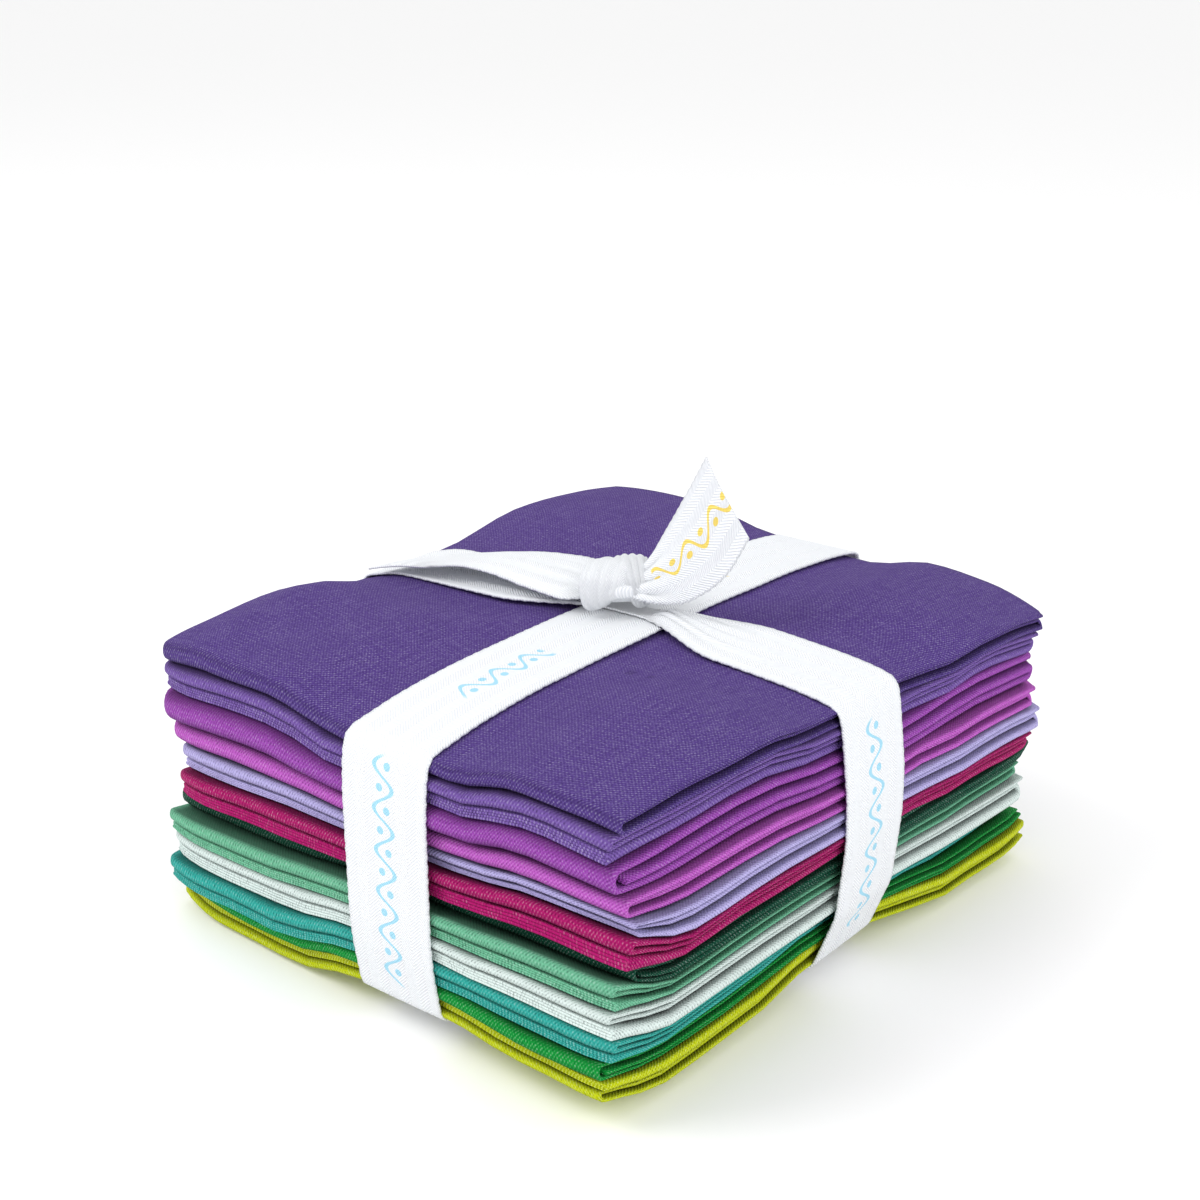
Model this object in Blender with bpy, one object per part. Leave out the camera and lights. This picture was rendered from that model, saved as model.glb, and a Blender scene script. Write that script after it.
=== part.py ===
"""Fat quarter bundle: twelve folded cottons, tied crosswise with twill ribbon.

Units are metres, +Z is up. The stack's short side runs along X and its long side along Y. The front
face, with the folded edges, is at -Y, and the nested ends of the layers are at +X. Every cloth is a
fat quarter, 18 in by 21 in, folded in four across X and in three along Y.

The stack is worked out in three coordinates: p and q lie in the plane, turned with the ribbon, and
s is the share of the stack's height, 0 at the bottom and 1 at the top.
"""
import math
from bisect import bisect_right
from collections import namedtuple

import bmesh
import bpy
from mathutils import Matrix, Vector
from mathutils.geometry import convex_hull_2d, delaunay_2d_cdt

MM = 0.001
INCH = 25.4 * MM

# Cut and folded size of every cloth
CUT_ACROSS = 21 * INCH
CUT_ALONG = 18 * INCH
FOLDED_X = CUT_ACROSS / 4
FOLDED_Y = CUT_ALONG / 3
CORNER_DRAW = 2.0 * MM

# Heights of the tied stack. One row for each quarter of its plan, in mm: the top and the bottom at its
# edges and at its corner, and the bottom on the last grid line before the edge.
CROWN = 71.3
Quarter = namedtuple("Quarter", "side end top_edge top_corner bottom_edge bottom_corner shoulder")
QUARTERS = (
    Quarter(-1, -1, 67.6, 64.3, 1.3, 1.6, 0.0),
    Quarter(1, -1, 69.0, 66.8, 6.2, 8.1, 1.5),
    Quarter(1, 1, 67.5, 63.5, 3.4, 5.6, 0.0),
    Quarter(-1, 1, 68.9, 67.2, 2.2, 4.0, 0.0),
)
LAYER_GAP_SHARE = 0.0069
MEAN_HEIGHT = 62 * MM

# Ribbon and the grooves that it pulls into the stack
RIBBON_WIDTH = 22 * MM
RIBBON_THICKNESS = 1.0 * MM
RIBBON_GAP = 0.4 * MM
RIBBON_TURN = math.radians(2.6)
LENGTHWISE_P = 5.2 * MM
CROSSWISE_Q = -1.8 * MM
GROOVE_HALF = 15 * MM
TOP_GROOVE = 3.0
TOP_GROOVE_AT_EDGE = 0.8
BOTTOM_GROOVE = 3.6
BOTTOM_GROOVE_AT_EDGE = 2.9
GROOVE_OVER_LIFT = 1.5

# How far the crosswise band presses the right ends in, in mm: at half height, and more towards the
# top and the bottom
PRESSED_IN = -0.6
PRESSED_IN_AT_TOP = 2.8
PRESSED_IN_AT_BOTTOM = 5.9
SHORTEST_STEP = 1.0 * MM

# Lines on which every cloth has its points, so that neighbours bend alike
HALF_X = FOLDED_X / 2
HALF_Y = FOLDED_Y / 2
INNER_P = (-52 * MM, -32 * MM, LENGTHWISE_P - GROOVE_HALF, LENGTHWISE_P + GROOVE_HALF, 38 * MM, 52 * MM)
INNER_Q = (-62 * MM, -39 * MM, CROSSWISE_Q - GROOVE_HALF, CROSSWISE_Q + GROOVE_HALF, 39 * MM, 62 * MM)
GRID_P = (-HALF_X,) + INNER_P + (HALF_X,)
GRID_Q = (-HALF_Y,) + INNER_Q + (HALF_Y,)
RIBBON_COLUMNS = (3, 4)

# Folds and ends of a cloth
FOLD_ANGLES = (90, 30, -30, -90)
FREE_EDGE_SET_BACK = 0.8 * MM
TUCK_DEPTH = 0.5 * MM
WRAP_WALL = 1.5 * MM
LIP_LENGTH = 1.0 * MM
LIP_NARROWING = 0.45
INSIDE_ONLY = 1
SAME_PLACE = 0.0001 * MM

# One row for each cloth, from the top down. kind names the fold that shows at the front. left, front
# and inner are its bulk at the front's left, at the front's right and behind the front edge. share is
# the part of that in the broad fold, shifts are in mm, turn is in degrees, and short is how much its
# length falls short at the back, in mm.
Cloth = namedtuple("Cloth", "name kind left front inner share shift_x shift_y turn short colour")
CLOTHS = (
    Cloth("cloth_01_dark_purple", "wrap", 4.2, 3.2, 4.0, 0.00, 0.7, 0.0, -0.6, 2.0, (0.084, 0.053, 0.232)),
    Cloth("cloth_02_mid_purple", "over", 6.0, 6.8, 6.4, 0.52, 0.0, -0.5, -0.8, 3.0, (0.162, 0.098, 0.392)),
    Cloth("cloth_03_orchid_violet", "wrap", 7.5, 6.4, 8.6, 0.00, -0.2, -1.0, -0.2, 2.0, (0.352, 0.082, 0.456)),
    Cloth("cloth_04_orchid_pink", "wrap", 5.1, 4.2, 6.0, 0.00, 1.0, 0.4, -0.4, 4.0, (0.552, 0.125, 0.597)),
    Cloth("cloth_05_lavender", "over", 5.3, 2.6, 6.4, 0.60, 2.2, 1.0, 0.2, 4.0, (0.485, 0.439, 0.768)),
    Cloth("cloth_06_raspberry", "over", 7.3, 8.0, 5.4, 0.50, 2.0, -0.6, 0.4, 5.0, (0.434, 0.009, 0.162)),
    Cloth("cloth_07_dark_green", "wrap", 2.6, 2.4, 5.0, 0.00, -0.8, 2.8, 0.6, 0.0, (0.005, 0.115, 0.059)),
    Cloth("cloth_08_sea_foam", "over", 6.7, 6.0, 3.0, 0.60, -1.6, -1.9, 0.7, 1.5, (0.174, 0.539, 0.332)),
    Cloth("cloth_09_mint_white", "over", 6.3, 6.6, 7.2, 0.46, -0.8, -1.5, 0.0, 2.0, (0.807, 0.922, 0.887)),
    Cloth("cloth_10_teal", "over", 7.0, 5.8, 4.2, 0.60, -3.4, -1.5, 1.3, 0.0, (0.034, 0.456, 0.386)),
    Cloth("cloth_11_green", "wrap", 3.0, 3.8, 2.8, 0.00, -3.0, 0.0, -0.8, 0.0, (0.003, 0.352, 0.051)),
    Cloth("cloth_12_lime", "under", 3.8, 4.6, 6.2, 0.52, -2.4, 1.0, -1.0, 0.0, (0.604, 0.686, 0.003)),
)

# Knot, an egg-shaped lump with wound ridges
KNOT_CENTRE = Vector((0.4 * MM, -0.4 * MM, 74.9 * MM))
KNOT_RADII = (7.2 * MM, 6.4 * MM, 4.2 * MM)
KNOT_SEGMENTS = 20
KNOT_RINGS = 11
KNOT_RIDGES = 3
KNOT_RIDGE_DEPTH = 0.11
KNOT_TWIST = 1.4

# Free ends. Each row is a place along the ribbon: its two edges, in mm.
Rung = namedtuple("Rung", "ax ay az bx by bz")
STANDING_END = (
    Rung(7.6, 3.6, 77.6, 8.0, -3.0, 73.4),
    Rung(8.2, 7.0, 80.0, 13.6, -3.2, 73.4),
    Rung(8.4, 8.8, 84.4, 18.6, -1.6, 74.0),
    Rung(9.8, 9.4, 90.0, 23.2, 1.0, 76.4),
    Rung(12.8, 9.4, 96.8, 26.8, 4.4, 81.0),
    Rung(17.1, 8.8, 104.0, 28.9, 8.2, 88.6),
)
LYING_END = (
    Rung(-7.6, 2.6, 75.2, -7.8, -3.4, 73.6),
    Rung(-13.0, 5.6, 73.4, -11.6, -7.6, 73.2),
    Rung(-24.0, 8.2, 71.8, -20.6, -11.0, 74.0),
    Rung(-35.5, 7.4, 70.9, -31.0, -13.2, 74.2),
    Rung(-46.5, 5.6, 70.2, -42.4, -15.0, 73.0),
    Rung(-56.0, 3.4, 70.1, -52.6, -16.6, 71.8),
    Rung(-64.0, 1.4, 69.2, -59.4, -17.4, 70.6),
    Rung(-70.0, 0.2, 68.0, -63.0, -17.8, 69.8),
)

RIBBON_COLOUR = (0.88, 0.88, 0.90)
CLOTH_ROUGHNESS = 0.85
RIBBON_ROUGHNESS = 0.7


def clear_scene():
    """Remove whatever objects the file holds."""
    for item in list(bpy.data.objects):
        bpy.data.objects.remove(item, do_unlink=True)


def fabric(name, colour, roughness):
    """A Principled material in one colour."""
    material = bpy.data.materials.new(name)
    material.use_nodes = True
    shader = material.node_tree.nodes["Principled BSDF"]
    shader.inputs["Base Color"].default_value = (*colour, 1.0)
    shader.inputs["Roughness"].default_value = roughness
    shader.inputs["Metallic"].default_value = 0.0
    return material


def add_object(name, shape, material):
    """Turn a bmesh into a named object with its material."""
    mesh = bpy.data.meshes.new(name)
    shape.to_mesh(mesh)
    shape.free()
    mesh.materials.append(material)
    piece = bpy.data.objects.new(name, mesh)
    bpy.context.collection.objects.link(piece)
    return piece


# The shape of the tied stack

def quarter_at(i, j):
    """The quarter of the plan that a crossing of the grid lines belongs to."""
    side = -1 if i <= RIBBON_COLUMNS[0] else 1
    end = -1 if j <= RIBBON_COLUMNS[0] else 1
    return next(quarter for quarter in QUARTERS if (quarter.side, quarter.end) == (side, end))


def grid_heights(i, j):
    """Bottom and top of the stack at one crossing of the grid lines, in mm."""
    quarter = quarter_at(i, j)
    u = (GRID_P[i] / HALF_X) ** 4
    v = (GRID_Q[j] / HALF_Y) ** 4
    edge_drop = CROWN - quarter.top_edge
    corner_drop = CROWN - quarter.top_corner - 2 * edge_drop
    top = CROWN - edge_drop * (u + v) - corner_drop * u * v
    last = len(GRID_P) - 1
    on_edges = (i in (0, last)) + (j in (0, last))
    by_edge = i in (1, last - 1) or j in (1, last - 1)
    bottom = (quarter.shoulder * by_edge, quarter.bottom_edge, quarter.bottom_corner)[on_edges]
    along = i in RIBBON_COLUMNS
    across = j in RIBBON_COLUMNS
    if along or across:
        reach = max(v if along else 0.0, u if across else 0.0)
        top -= TOP_GROOVE + TOP_GROOVE_AT_EDGE * reach
        bottom = max(bottom + GROOVE_OVER_LIFT, BOTTOM_GROOVE + BOTTOM_GROOVE_AT_EDGE * reach)
    return bottom, top


def strip_shares(bulks):
    """Lower and upper share of the height that each strip of each cloth takes, from the top down."""
    parts = {
        "over": lambda share: (share / 2, share / 2, 1 - share),
        "under": lambda share: (1 - share, share / 2, share / 2),
        "wrap": lambda share: (1 / 3, 1 / 3, 1 / 3),
    }
    room = 1 - LAYER_GAP_SHARE * (3 * len(CLOTHS) - 1)
    level = 1.0
    table = []
    for cloth, bulk in zip(CLOTHS, bulks):
        rows = []
        for part in parts[cloth.kind](cloth.share):
            height = room * bulk / sum(bulks) * part
            rows.append((level - height, level))
            level -= height + LAYER_GAP_SHARE
        table.append(rows)
    return table


def local_bulks(i, j):
    """Bulk of every cloth at one crossing: two columns on the front edge, one behind it."""
    if j > 0:
        return [cloth.inner for cloth in CLOTHS]
    across = (GRID_P[i] + HALF_X) / (2 * HALF_X)
    return [cloth.left + (cloth.front - cloth.left) * across for cloth in CLOTHS]


def rising_levels(table):
    """Every face of every strip, from the bottom up."""
    return sorted(level for rows in table for strip in rows for level in strip)


SHARES = strip_shares([(cloth.left + cloth.front + cloth.inner) / 3 for cloth in CLOTHS])
LEVELS = rising_levels(SHARES)
LOCAL_LEVELS = [[rising_levels(strip_shares(local_bulks(i, j))) for j in range(len(GRID_Q))]
                for i in range(len(GRID_P))]
HEIGHTS = [[grid_heights(i, j) for j in range(len(GRID_Q))] for i in range(len(GRID_P))]


def crossing_height(i, j, s):
    """World height of the share s of the mean stack at one crossing of the grid lines."""
    bottom, top = HEIGHTS[i][j]
    index = min(max(bisect_right(LEVELS, s) - 1, 0), len(LEVELS) - 2)
    across = (s - LEVELS[index]) / (LEVELS[index + 1] - LEVELS[index])
    low, high = LOCAL_LEVELS[i][j][index:index + 2]
    return (bottom + (low + (high - low) * across) * (top - bottom)) * MM


def cell(lines, value):
    """The grid cell that holds a value, and how far across it the value lies."""
    index = 0
    while index < len(lines) - 2 and value > lines[index + 1]:
        index += 1
    return index, (value - lines[index]) / (lines[index + 1] - lines[index])


def stack_height(p, q, s):
    """World height of the share s of the mean stack at the place p, q."""
    i, a = cell(GRID_P, p)
    j, b = cell(GRID_Q, q)
    near = crossing_height(i, j, s) * (1 - a) + crossing_height(i + 1, j, s) * a
    far = crossing_height(i, j + 1, s) * (1 - a) + crossing_height(i + 1, j + 1, s) * a
    return near * (1 - b) + far * b


def to_world(p, q, z):
    """Turn a place in the ribbon's frame into the stack's frame."""
    c, n = math.cos(RIBBON_TURN), math.sin(RIBBON_TURN)
    return Vector((c * p - n * q, n * p + c * q, z))


# One folded cloth

def corner(cloth, side, end):
    """One corner of a cloth's folded outline, in the ribbon's frame."""
    turn = math.radians(cloth.turn) - RIBBON_TURN
    c, n = math.cos(turn), math.sin(turn)
    x, y = side * HALF_X, end * HALF_Y - cloth.short * MM * (end > 0)
    shift = Vector((cloth.shift_x * MM, cloth.shift_y * MM))
    shift = Vector((shift.x * math.cos(RIBBON_TURN) + shift.y * math.sin(RIBBON_TURN),
                    shift.y * math.cos(RIBBON_TURN) - shift.x * math.sin(RIBBON_TURN)))
    return c * x - n * y + shift.x, n * x + c * y + shift.y


def edge_value(start, finish, at):
    """Height over a line from start to finish, both (along, across), at a place along it."""
    return start[1] + (finish[1] - start[1]) * (at - start[0]) / (finish[0] - start[0])


def drawn_in(value, inner):
    """How much a corner draws in: all at the outline, nothing from the first inner line on."""
    limit = inner[-1] if value > 0 else -inner[0]
    half = HALF_X if inner is INNER_P else HALF_Y
    return CORNER_DRAW * max(0.0, min(1.0, (abs(value) - limit) / (half - limit)))


def pressed_in(cloth):
    """How far the crosswise band keeps the cloth's right end inside the folded size."""
    (low, _), (_, high) = SHARES[CLOTHS.index(cloth)][::2]
    away = low + high - 1
    further = PRESSED_IN_AT_TOP if away > 0 else PRESSED_IN_AT_BOTTOM
    return (PRESSED_IN + (further - PRESSED_IN) * away ** 2) * MM


def end_q(cloth, end, p):
    """Where the cloth's front (-1) or back (+1) edge lies at p."""
    start, finish = corner(cloth, -1, end), corner(cloth, 1, end)
    return edge_value(start, finish, p) - end * drawn_in(p, INNER_P)


def side_p(cloth, side, q):
    """Where the cloth's left (-1) or right (+1) end lies at q."""
    start, finish = corner(cloth, side, -1), corner(cloth, side, 1)
    value = edge_value(start[::-1], finish[::-1], q)
    if side > 0 and abs(q - CROSSWISE_Q) <= GROOVE_HALF + SHORTEST_STEP:
        value = min(value, HALF_X - pressed_in(cloth))
    return value - side * drawn_in(q, INNER_Q)


def line_points(level, direction):
    """The points of one face of a strip on the inner lines. direction 1 runs to the back."""
    places = INNER_Q if direction > 0 else INNER_Q[::-1]
    return [(0, q, level) for q in places]


def fold_points(end, upper, lower):
    """Points round the outside of a fold, from its upper to its lower face."""
    radius = (upper - lower) / 2
    reach = radius * MEAN_HEIGHT
    flat = math.cos(math.radians(FOLD_ANGLES[1]))
    points = []
    for angle in FOLD_ANGLES:
        turn = math.radians(angle)
        inward = reach * (1 - math.cos(turn) / flat)
        points.append((end, -end * max(0.0, inward), (upper + lower) / 2 + radius * math.sin(turn)))
    return points


def slot_points(end, depth, levels):
    """The blind end of the gap between two joined strips."""
    return [(end, -end * depth, level) for level in levels]


def section(kind, strips):
    """Closed outline of the folded cloth in q and s, as (edge, offset from it, share).

    edge is -1 for the front, 1 for the back and 0 for a fixed line of the grid.
    """
    if kind == "wrap":
        return wrap_section(strips)
    if kind == "under":
        mirrored = [(1 - high, 1 - low) for low, high in reversed(strips)]
        return [(edge, offset, 1 - level) for edge, offset, level in zigzag_section(mirrored)]
    return zigzag_section(strips)


def zigzag_section(strips):
    """Three strips: the upper two join at the front, the lower two at the back."""
    (a_low, a_high), (b_low, b_high), (c_low, c_high) = strips
    front_slot = (a_high - b_low) / 2 * MEAN_HEIGHT + TUCK_DEPTH
    back_slot = (b_high - c_low) / 2 * MEAN_HEIGHT + TUCK_DEPTH
    outline = [(1, -FREE_EDGE_SET_BACK, a_high)] + line_points(a_high, -1)
    outline += fold_points(-1, a_high, b_low) + line_points(b_low, 1)
    outline += slot_points(1, back_slot, (b_low, c_high)) + line_points(c_high, -1)
    outline += [(-1, FREE_EDGE_SET_BACK, c_high), (-1, FREE_EDGE_SET_BACK, c_low)] + line_points(c_low, 1)
    outline += fold_points(1, b_high, c_low)[::-1] + line_points(b_high, -1)
    outline += slot_points(-1, front_slot, (b_high, a_low)) + line_points(a_low, 1)
    outline += [(1, -FREE_EDGE_SET_BACK, a_low)]
    return outline


def wrap_section(strips):
    """Three strips: the outer two join at the front round the tucked one, which joins at the back."""
    (a_low, a_high), (b_low, b_high), (c_low, c_high) = strips
    back_slot = (b_high - c_low) / 2 * MEAN_HEIGHT + TUCK_DEPTH
    tucked = WRAP_WALL + TUCK_DEPTH
    outline = [(1, -FREE_EDGE_SET_BACK, a_high)] + line_points(a_high, -1)
    outline += fold_points(-1, a_high, c_low) + line_points(c_low, 1)
    outline += fold_points(1, b_high, c_low)[::-1] + line_points(b_high, -1)
    outline += [(-1, tucked, b_high), (-1, tucked, b_low)] + line_points(b_low, 1)
    outline += slot_points(1, back_slot, (b_low, c_high)) + line_points(c_high, -1)
    outline += slot_points(-1, WRAP_WALL, (c_high, a_low)) + line_points(a_low, 1)
    outline += [(1, -FREE_EDGE_SET_BACK, a_low)]
    return outline


def strip_middle(strips, level):
    """Middle of the strip whose face lies at a level."""
    low, high = min(strips, key=lambda strip: min(abs(strip[0] - level), abs(strip[1] - level)))
    return (low + high) / 2


def cloth_point(cloth, strips, point, station):
    """World place of one outline point at one station along p."""
    edge, offset, level = point
    kind, value = station
    p = value if kind == "line" else value * HALF_X
    q = end_q(cloth, edge, p) + offset if edge else offset
    if kind != "line":
        p = side_p(cloth, value, q)
    if kind == "lip":
        p -= value * LIP_LENGTH
    if kind == "tip":
        level += (strip_middle(strips, level) - level) * LIP_NARROWING
    return to_world(p, q, stack_height(p, q, level))


def split_square(face, ring_place):
    """Cut a four-sided face along the diagonal that runs to +p and +q."""
    corners = sorted(face.verts, key=lambda vert: ring_place[vert])
    bmesh.utils.face_split(face, corners[0], corners[3])


def close_end(shape, loop, outline, order):
    """Fill one end of a cloth with triangles, cut across each strip on every inner line."""
    flat = [Vector((q, level * MEAN_HEIGHT)) for q, (_, _, level) in zip(order, outline)]
    cuts = [(k, (k + 1) % len(loop)) for k in range(len(loop))]
    lines = {}
    for k, (edge, q, level) in enumerate(outline):
        if edge == 0:
            lines.setdefault(q, []).append((level, k))
    for crossings in lines.values():
        crossings.sort()
        cuts += [(low, high) for (_, low), (_, high) in zip(crossings[::2], crossings[1::2])]
    corners = delaunay_2d_cdt(flat, cuts, [], INSIDE_ONLY, SAME_PLACE)[2]
    for triangle in corners:
        shape.faces.new([loop[index] for index in triangle])


def folded_cloth(cloth, strips):
    """Draw the folded section, extrude it from end to end and lay it in the stack."""
    outline = section(cloth.kind, strips)
    stations = [("end", -1)] + [("line", p) for p in INNER_P] + [("lip", 1), ("tip", 1)]
    shape = bmesh.new()
    ring = [shape.verts.new(cloth_point(cloth, strips, point, stations[0])) for point in outline]
    order = [point[1] if point[0] == 0 else point[0] * HALF_Y + point[1] for point in outline]
    place = {vert: (0, q, k) for k, (vert, q) in enumerate(zip(ring, order))}
    edges = [shape.edges.new((ring[k], ring[(k + 1) % len(ring)])) for k in range(len(ring))]
    start = list(ring)
    for number, station in enumerate(stations[1:], start=1):
        made = bmesh.ops.extrude_edge_only(shape, edges=edges)["geom"]
        fresh = {item for item in made if isinstance(item, bmesh.types.BMVert)}
        edges = [item for item in made if isinstance(item, bmesh.types.BMEdge)
                 and item.verts[0] in fresh and item.verts[1] in fresh]
        ring = [next(edge.other_vert(old) for edge in old.link_edges if edge.other_vert(old) in fresh)
                for old in ring]
        for k, (vert, point, q) in enumerate(zip(ring, outline, order)):
            vert.co = cloth_point(cloth, strips, point, station)
            place[vert] = (number, q, k)
    for face in list(shape.faces):
        split_square(face, place)
    for loop in (start, ring):
        close_end(shape, loop, outline, order)
    bmesh.ops.recalc_face_normals(shape, faces=shape.faces)
    return add_object(cloth.name, shape, fabric(cloth.name, cloth.colour, CLOTH_ROUGHNESS))


# Ribbon bands

def outline_at(cloth, strips, p):
    """The cloth's outline on the line p, as q and height."""
    points = []
    for edge, offset, level in section(cloth.kind, strips):
        q = end_q(cloth, edge, p) + offset if edge else offset
        points.append((q, stack_height(p, q, level)))
    return points


def ends_at(cloth, strips, q):
    """The cloth's two ends and its faces on the line q, as p and height."""
    places = [side_p(cloth, -1, q), side_p(cloth, 1, q)] + list(INNER_P)
    return [(p, stack_height(p, q, level)) for p in places for strip in strips for level in strip]


def taut_loop(points):
    """The path of a ribbon pulled tight round points: their hull, thinned out."""
    flat = [Vector(point) for point in points]
    loop = [flat[index] for index in convex_hull_2d(flat)]
    if sum(point.cross(after) for point, after in zip(loop, loop[1:] + loop[:1])) < 0:
        loop.reverse()
    kept = []
    for point in loop:
        if not kept or (point - kept[-1]).length > SHORTEST_STEP:
            kept.append(point)
    return kept


def moved_out(loop, distance):
    """A closed convex loop, which runs anticlockwise, moved outwards by a distance."""
    moved = []
    for before, point, after in zip(loop[-1:] + loop[:-1], loop, loop[1:] + loop[:1]):
        arrival = (point - before).normalized()
        departure = (after - point).normalized()
        along = (arrival + departure).normalized()
        normal = Vector((along.y, -along.x))
        moved.append(point + normal * distance / along.dot(departure))
    return moved


def band(name, loop, place, half_width):
    """A closed strip along a loop, thickened outwards."""
    shape = bmesh.new()
    rows = []
    for along, height in loop:
        half = half_width(along, height)
        rows.append([shape.verts.new(place(along, offset, height)) for offset in (-half, half)])
    for k, row in enumerate(rows):
        other = rows[(k + 1) % len(rows)]
        shape.faces.new((row[0], row[1], other[1], other[0]))
    bmesh.ops.recalc_face_normals(shape, faces=shape.faces)
    middle = Vector((0.0, 0.0, MEAN_HEIGHT / 2))
    sample = next(iter(shape.faces))
    if sample.normal.dot(sample.calc_center_median() - middle) < 0:
        bmesh.ops.reverse_faces(shape, faces=shape.faces)
    bmesh.ops.triangulate(shape, faces=shape.faces)
    return thickened(add_object(name, shape, fabric(name, RIBBON_COLOUR, RIBBON_ROUGHNESS)), 1.0)


def thickened(piece, offset):
    """Give a ribbon its thickness, to one side or about its middle."""
    solid = piece.modifiers.new("thickness", "SOLIDIFY")
    solid.thickness = RIBBON_THICKNESS
    solid.offset = offset
    solid.use_even_offset = True
    return piece


def lengthwise_loop():
    """The band along Y: round the stack's front, bottom, back and top."""
    points = []
    for p in (LENGTHWISE_P - RIBBON_WIDTH / 2, LENGTHWISE_P + RIBBON_WIDTH / 2):
        for cloth, strips in zip(CLOTHS, SHARES):
            points += outline_at(cloth, strips, p)
    return moved_out(taut_loop(points), RIBBON_GAP)


def crosswise_loop():
    """The band along X, which passes outside the lengthwise band where they cross."""
    points = []
    for q in (CROSSWISE_Q - RIBBON_WIDTH / 2, CROSSWISE_Q + RIBBON_WIDTH / 2):
        for cloth, strips in zip(CLOTHS, SHARES):
            points += ends_at(cloth, strips, q)
    over = RIBBON_GAP + RIBBON_THICKNESS
    for p in (LENGTHWISE_P - RIBBON_WIDTH / 2, LENGTHWISE_P + RIBBON_WIDTH / 2):
        points.append((p, stack_height(p, CROSSWISE_Q, 1) + over))
        points.append((p, stack_height(p, CROSSWISE_Q, 0) - over))
    return moved_out(taut_loop(points), RIBBON_GAP)


def gathered_half(p, height):
    """Half width of the crosswise band, gathered where the knot grips it."""
    if height < MEAN_HEIGHT:
        return RIBBON_WIDTH / 2
    spread = min(1.0, max(0.0, (abs(p - LENGTHWISE_P) - 12 * MM) / (20 * MM)))
    return RIBBON_WIDTH / 2 * (0.68 + 0.32 * spread)


# Knot and free ends

def knot():
    """A lump of wound ribbon: a sphere with spiral ridges, pressed flat below."""
    shape = bmesh.new()
    bmesh.ops.create_uvsphere(shape, u_segments=KNOT_SEGMENTS, v_segments=KNOT_RINGS, radius=1.0)
    for vert in shape.verts:
        around = math.atan2(vert.co.z, vert.co.y)
        ridge = math.cos(KNOT_RIDGES * around + KNOT_TWIST * vert.co.x * math.pi)
        size = 1 + KNOT_RIDGE_DEPTH * ridge * (1 - vert.co.x ** 2)
        unit = vert.co * size
        unit.z = max(unit.z, -0.82)
        vert.co = KNOT_CENTRE + Vector([part * radius for part, radius in zip(unit, KNOT_RADII)])
    bmesh.ops.triangulate(shape, faces=shape.faces)
    piece = add_object("knot", shape, fabric("knot", RIBBON_COLOUR, RIBBON_ROUGHNESS))
    piece.data.shade_smooth()
    return piece


def free_end(name, rungs):
    """A loose stretch of ribbon between its two edges."""
    shape = bmesh.new()
    rows = []
    for rung in rungs:
        first = Vector((rung.ax, rung.ay, rung.az)) * MM
        second = Vector((rung.bx, rung.by, rung.bz)) * MM
        rows.append([shape.verts.new(first.lerp(second, share)) for share in (0.0, 0.5, 1.0)])
    for row, other in zip(rows, rows[1:]):
        for k in range(len(row) - 1):
            shape.faces.new((row[k], row[k + 1], other[k + 1], other[k]))
    bmesh.ops.triangulate(shape, faces=shape.faces)
    return thickened(add_object(name, shape, fabric(name, RIBBON_COLOUR, RIBBON_ROUGHNESS)), 0.0)


def centre_on_origin(pieces):
    """Bring the middle of the bundle's footprint to the origin."""
    settled = bpy.context.evaluated_depsgraph_get()
    corners = [corner for piece in pieces for corner in piece.evaluated_get(settled).bound_box]
    middle = [(min(axis) + max(axis)) / 2 for axis in list(zip(*corners))[:2]]
    for piece in pieces:
        piece.data.transform(Matrix.Translation((-middle[0], -middle[1], 0.0)))


def build():
    """Model the whole bundle."""
    clear_scene()
    pieces = [folded_cloth(cloth, strips) for cloth, strips in zip(CLOTHS, SHARES)]
    pieces.append(band("lengthwise_band", lengthwise_loop(),
                       lambda q, offset, z: to_world(LENGTHWISE_P + offset, q, z),
                       lambda q, z: RIBBON_WIDTH / 2))
    pieces.append(band("crosswise_band", crosswise_loop(),
                       lambda p, offset, z: to_world(p, CROSSWISE_Q + offset, z), gathered_half))
    pieces.append(knot())
    pieces.append(free_end("standing_end", STANDING_END))
    pieces.append(free_end("lying_end", LYING_END))
    centre_on_origin(pieces)


build()
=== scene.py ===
# %% [markdown]
# # Fat quarter bundle: twelve folded cottons tied with twill ribbon
#
# The bundle is cloth from top to bottom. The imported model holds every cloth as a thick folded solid.
# This lesson replaces each of them by the real thing, one thin sheet that is folded in four and then
# in three, and dresses sheets and ribbon in woven materials.

# %% Load the frame
import math
from collections import namedtuple
from functools import partial

import bpy
import numpy as np
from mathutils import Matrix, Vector
from mathutils.geometry import convex_hull_2d


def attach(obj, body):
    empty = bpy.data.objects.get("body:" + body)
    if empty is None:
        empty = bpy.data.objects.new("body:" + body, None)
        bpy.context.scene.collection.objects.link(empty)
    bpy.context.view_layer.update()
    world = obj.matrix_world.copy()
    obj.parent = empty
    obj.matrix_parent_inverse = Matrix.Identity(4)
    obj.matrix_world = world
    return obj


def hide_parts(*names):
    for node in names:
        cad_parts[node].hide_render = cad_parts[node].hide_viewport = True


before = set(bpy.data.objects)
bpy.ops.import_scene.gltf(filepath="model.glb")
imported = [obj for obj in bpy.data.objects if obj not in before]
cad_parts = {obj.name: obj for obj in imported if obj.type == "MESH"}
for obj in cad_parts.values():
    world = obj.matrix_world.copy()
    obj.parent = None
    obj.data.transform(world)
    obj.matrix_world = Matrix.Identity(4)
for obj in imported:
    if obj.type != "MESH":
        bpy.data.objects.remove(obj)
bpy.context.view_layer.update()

# %% [markdown]
# ## The camera
#
# The camera stands a little above the bundle and in front of one corner. The angles and the distance
# were worked out from the ribbon's edges and the corners of the stack, and the lens follows from
# them. A small shift puts the bundle where it is in the picture.

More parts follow.
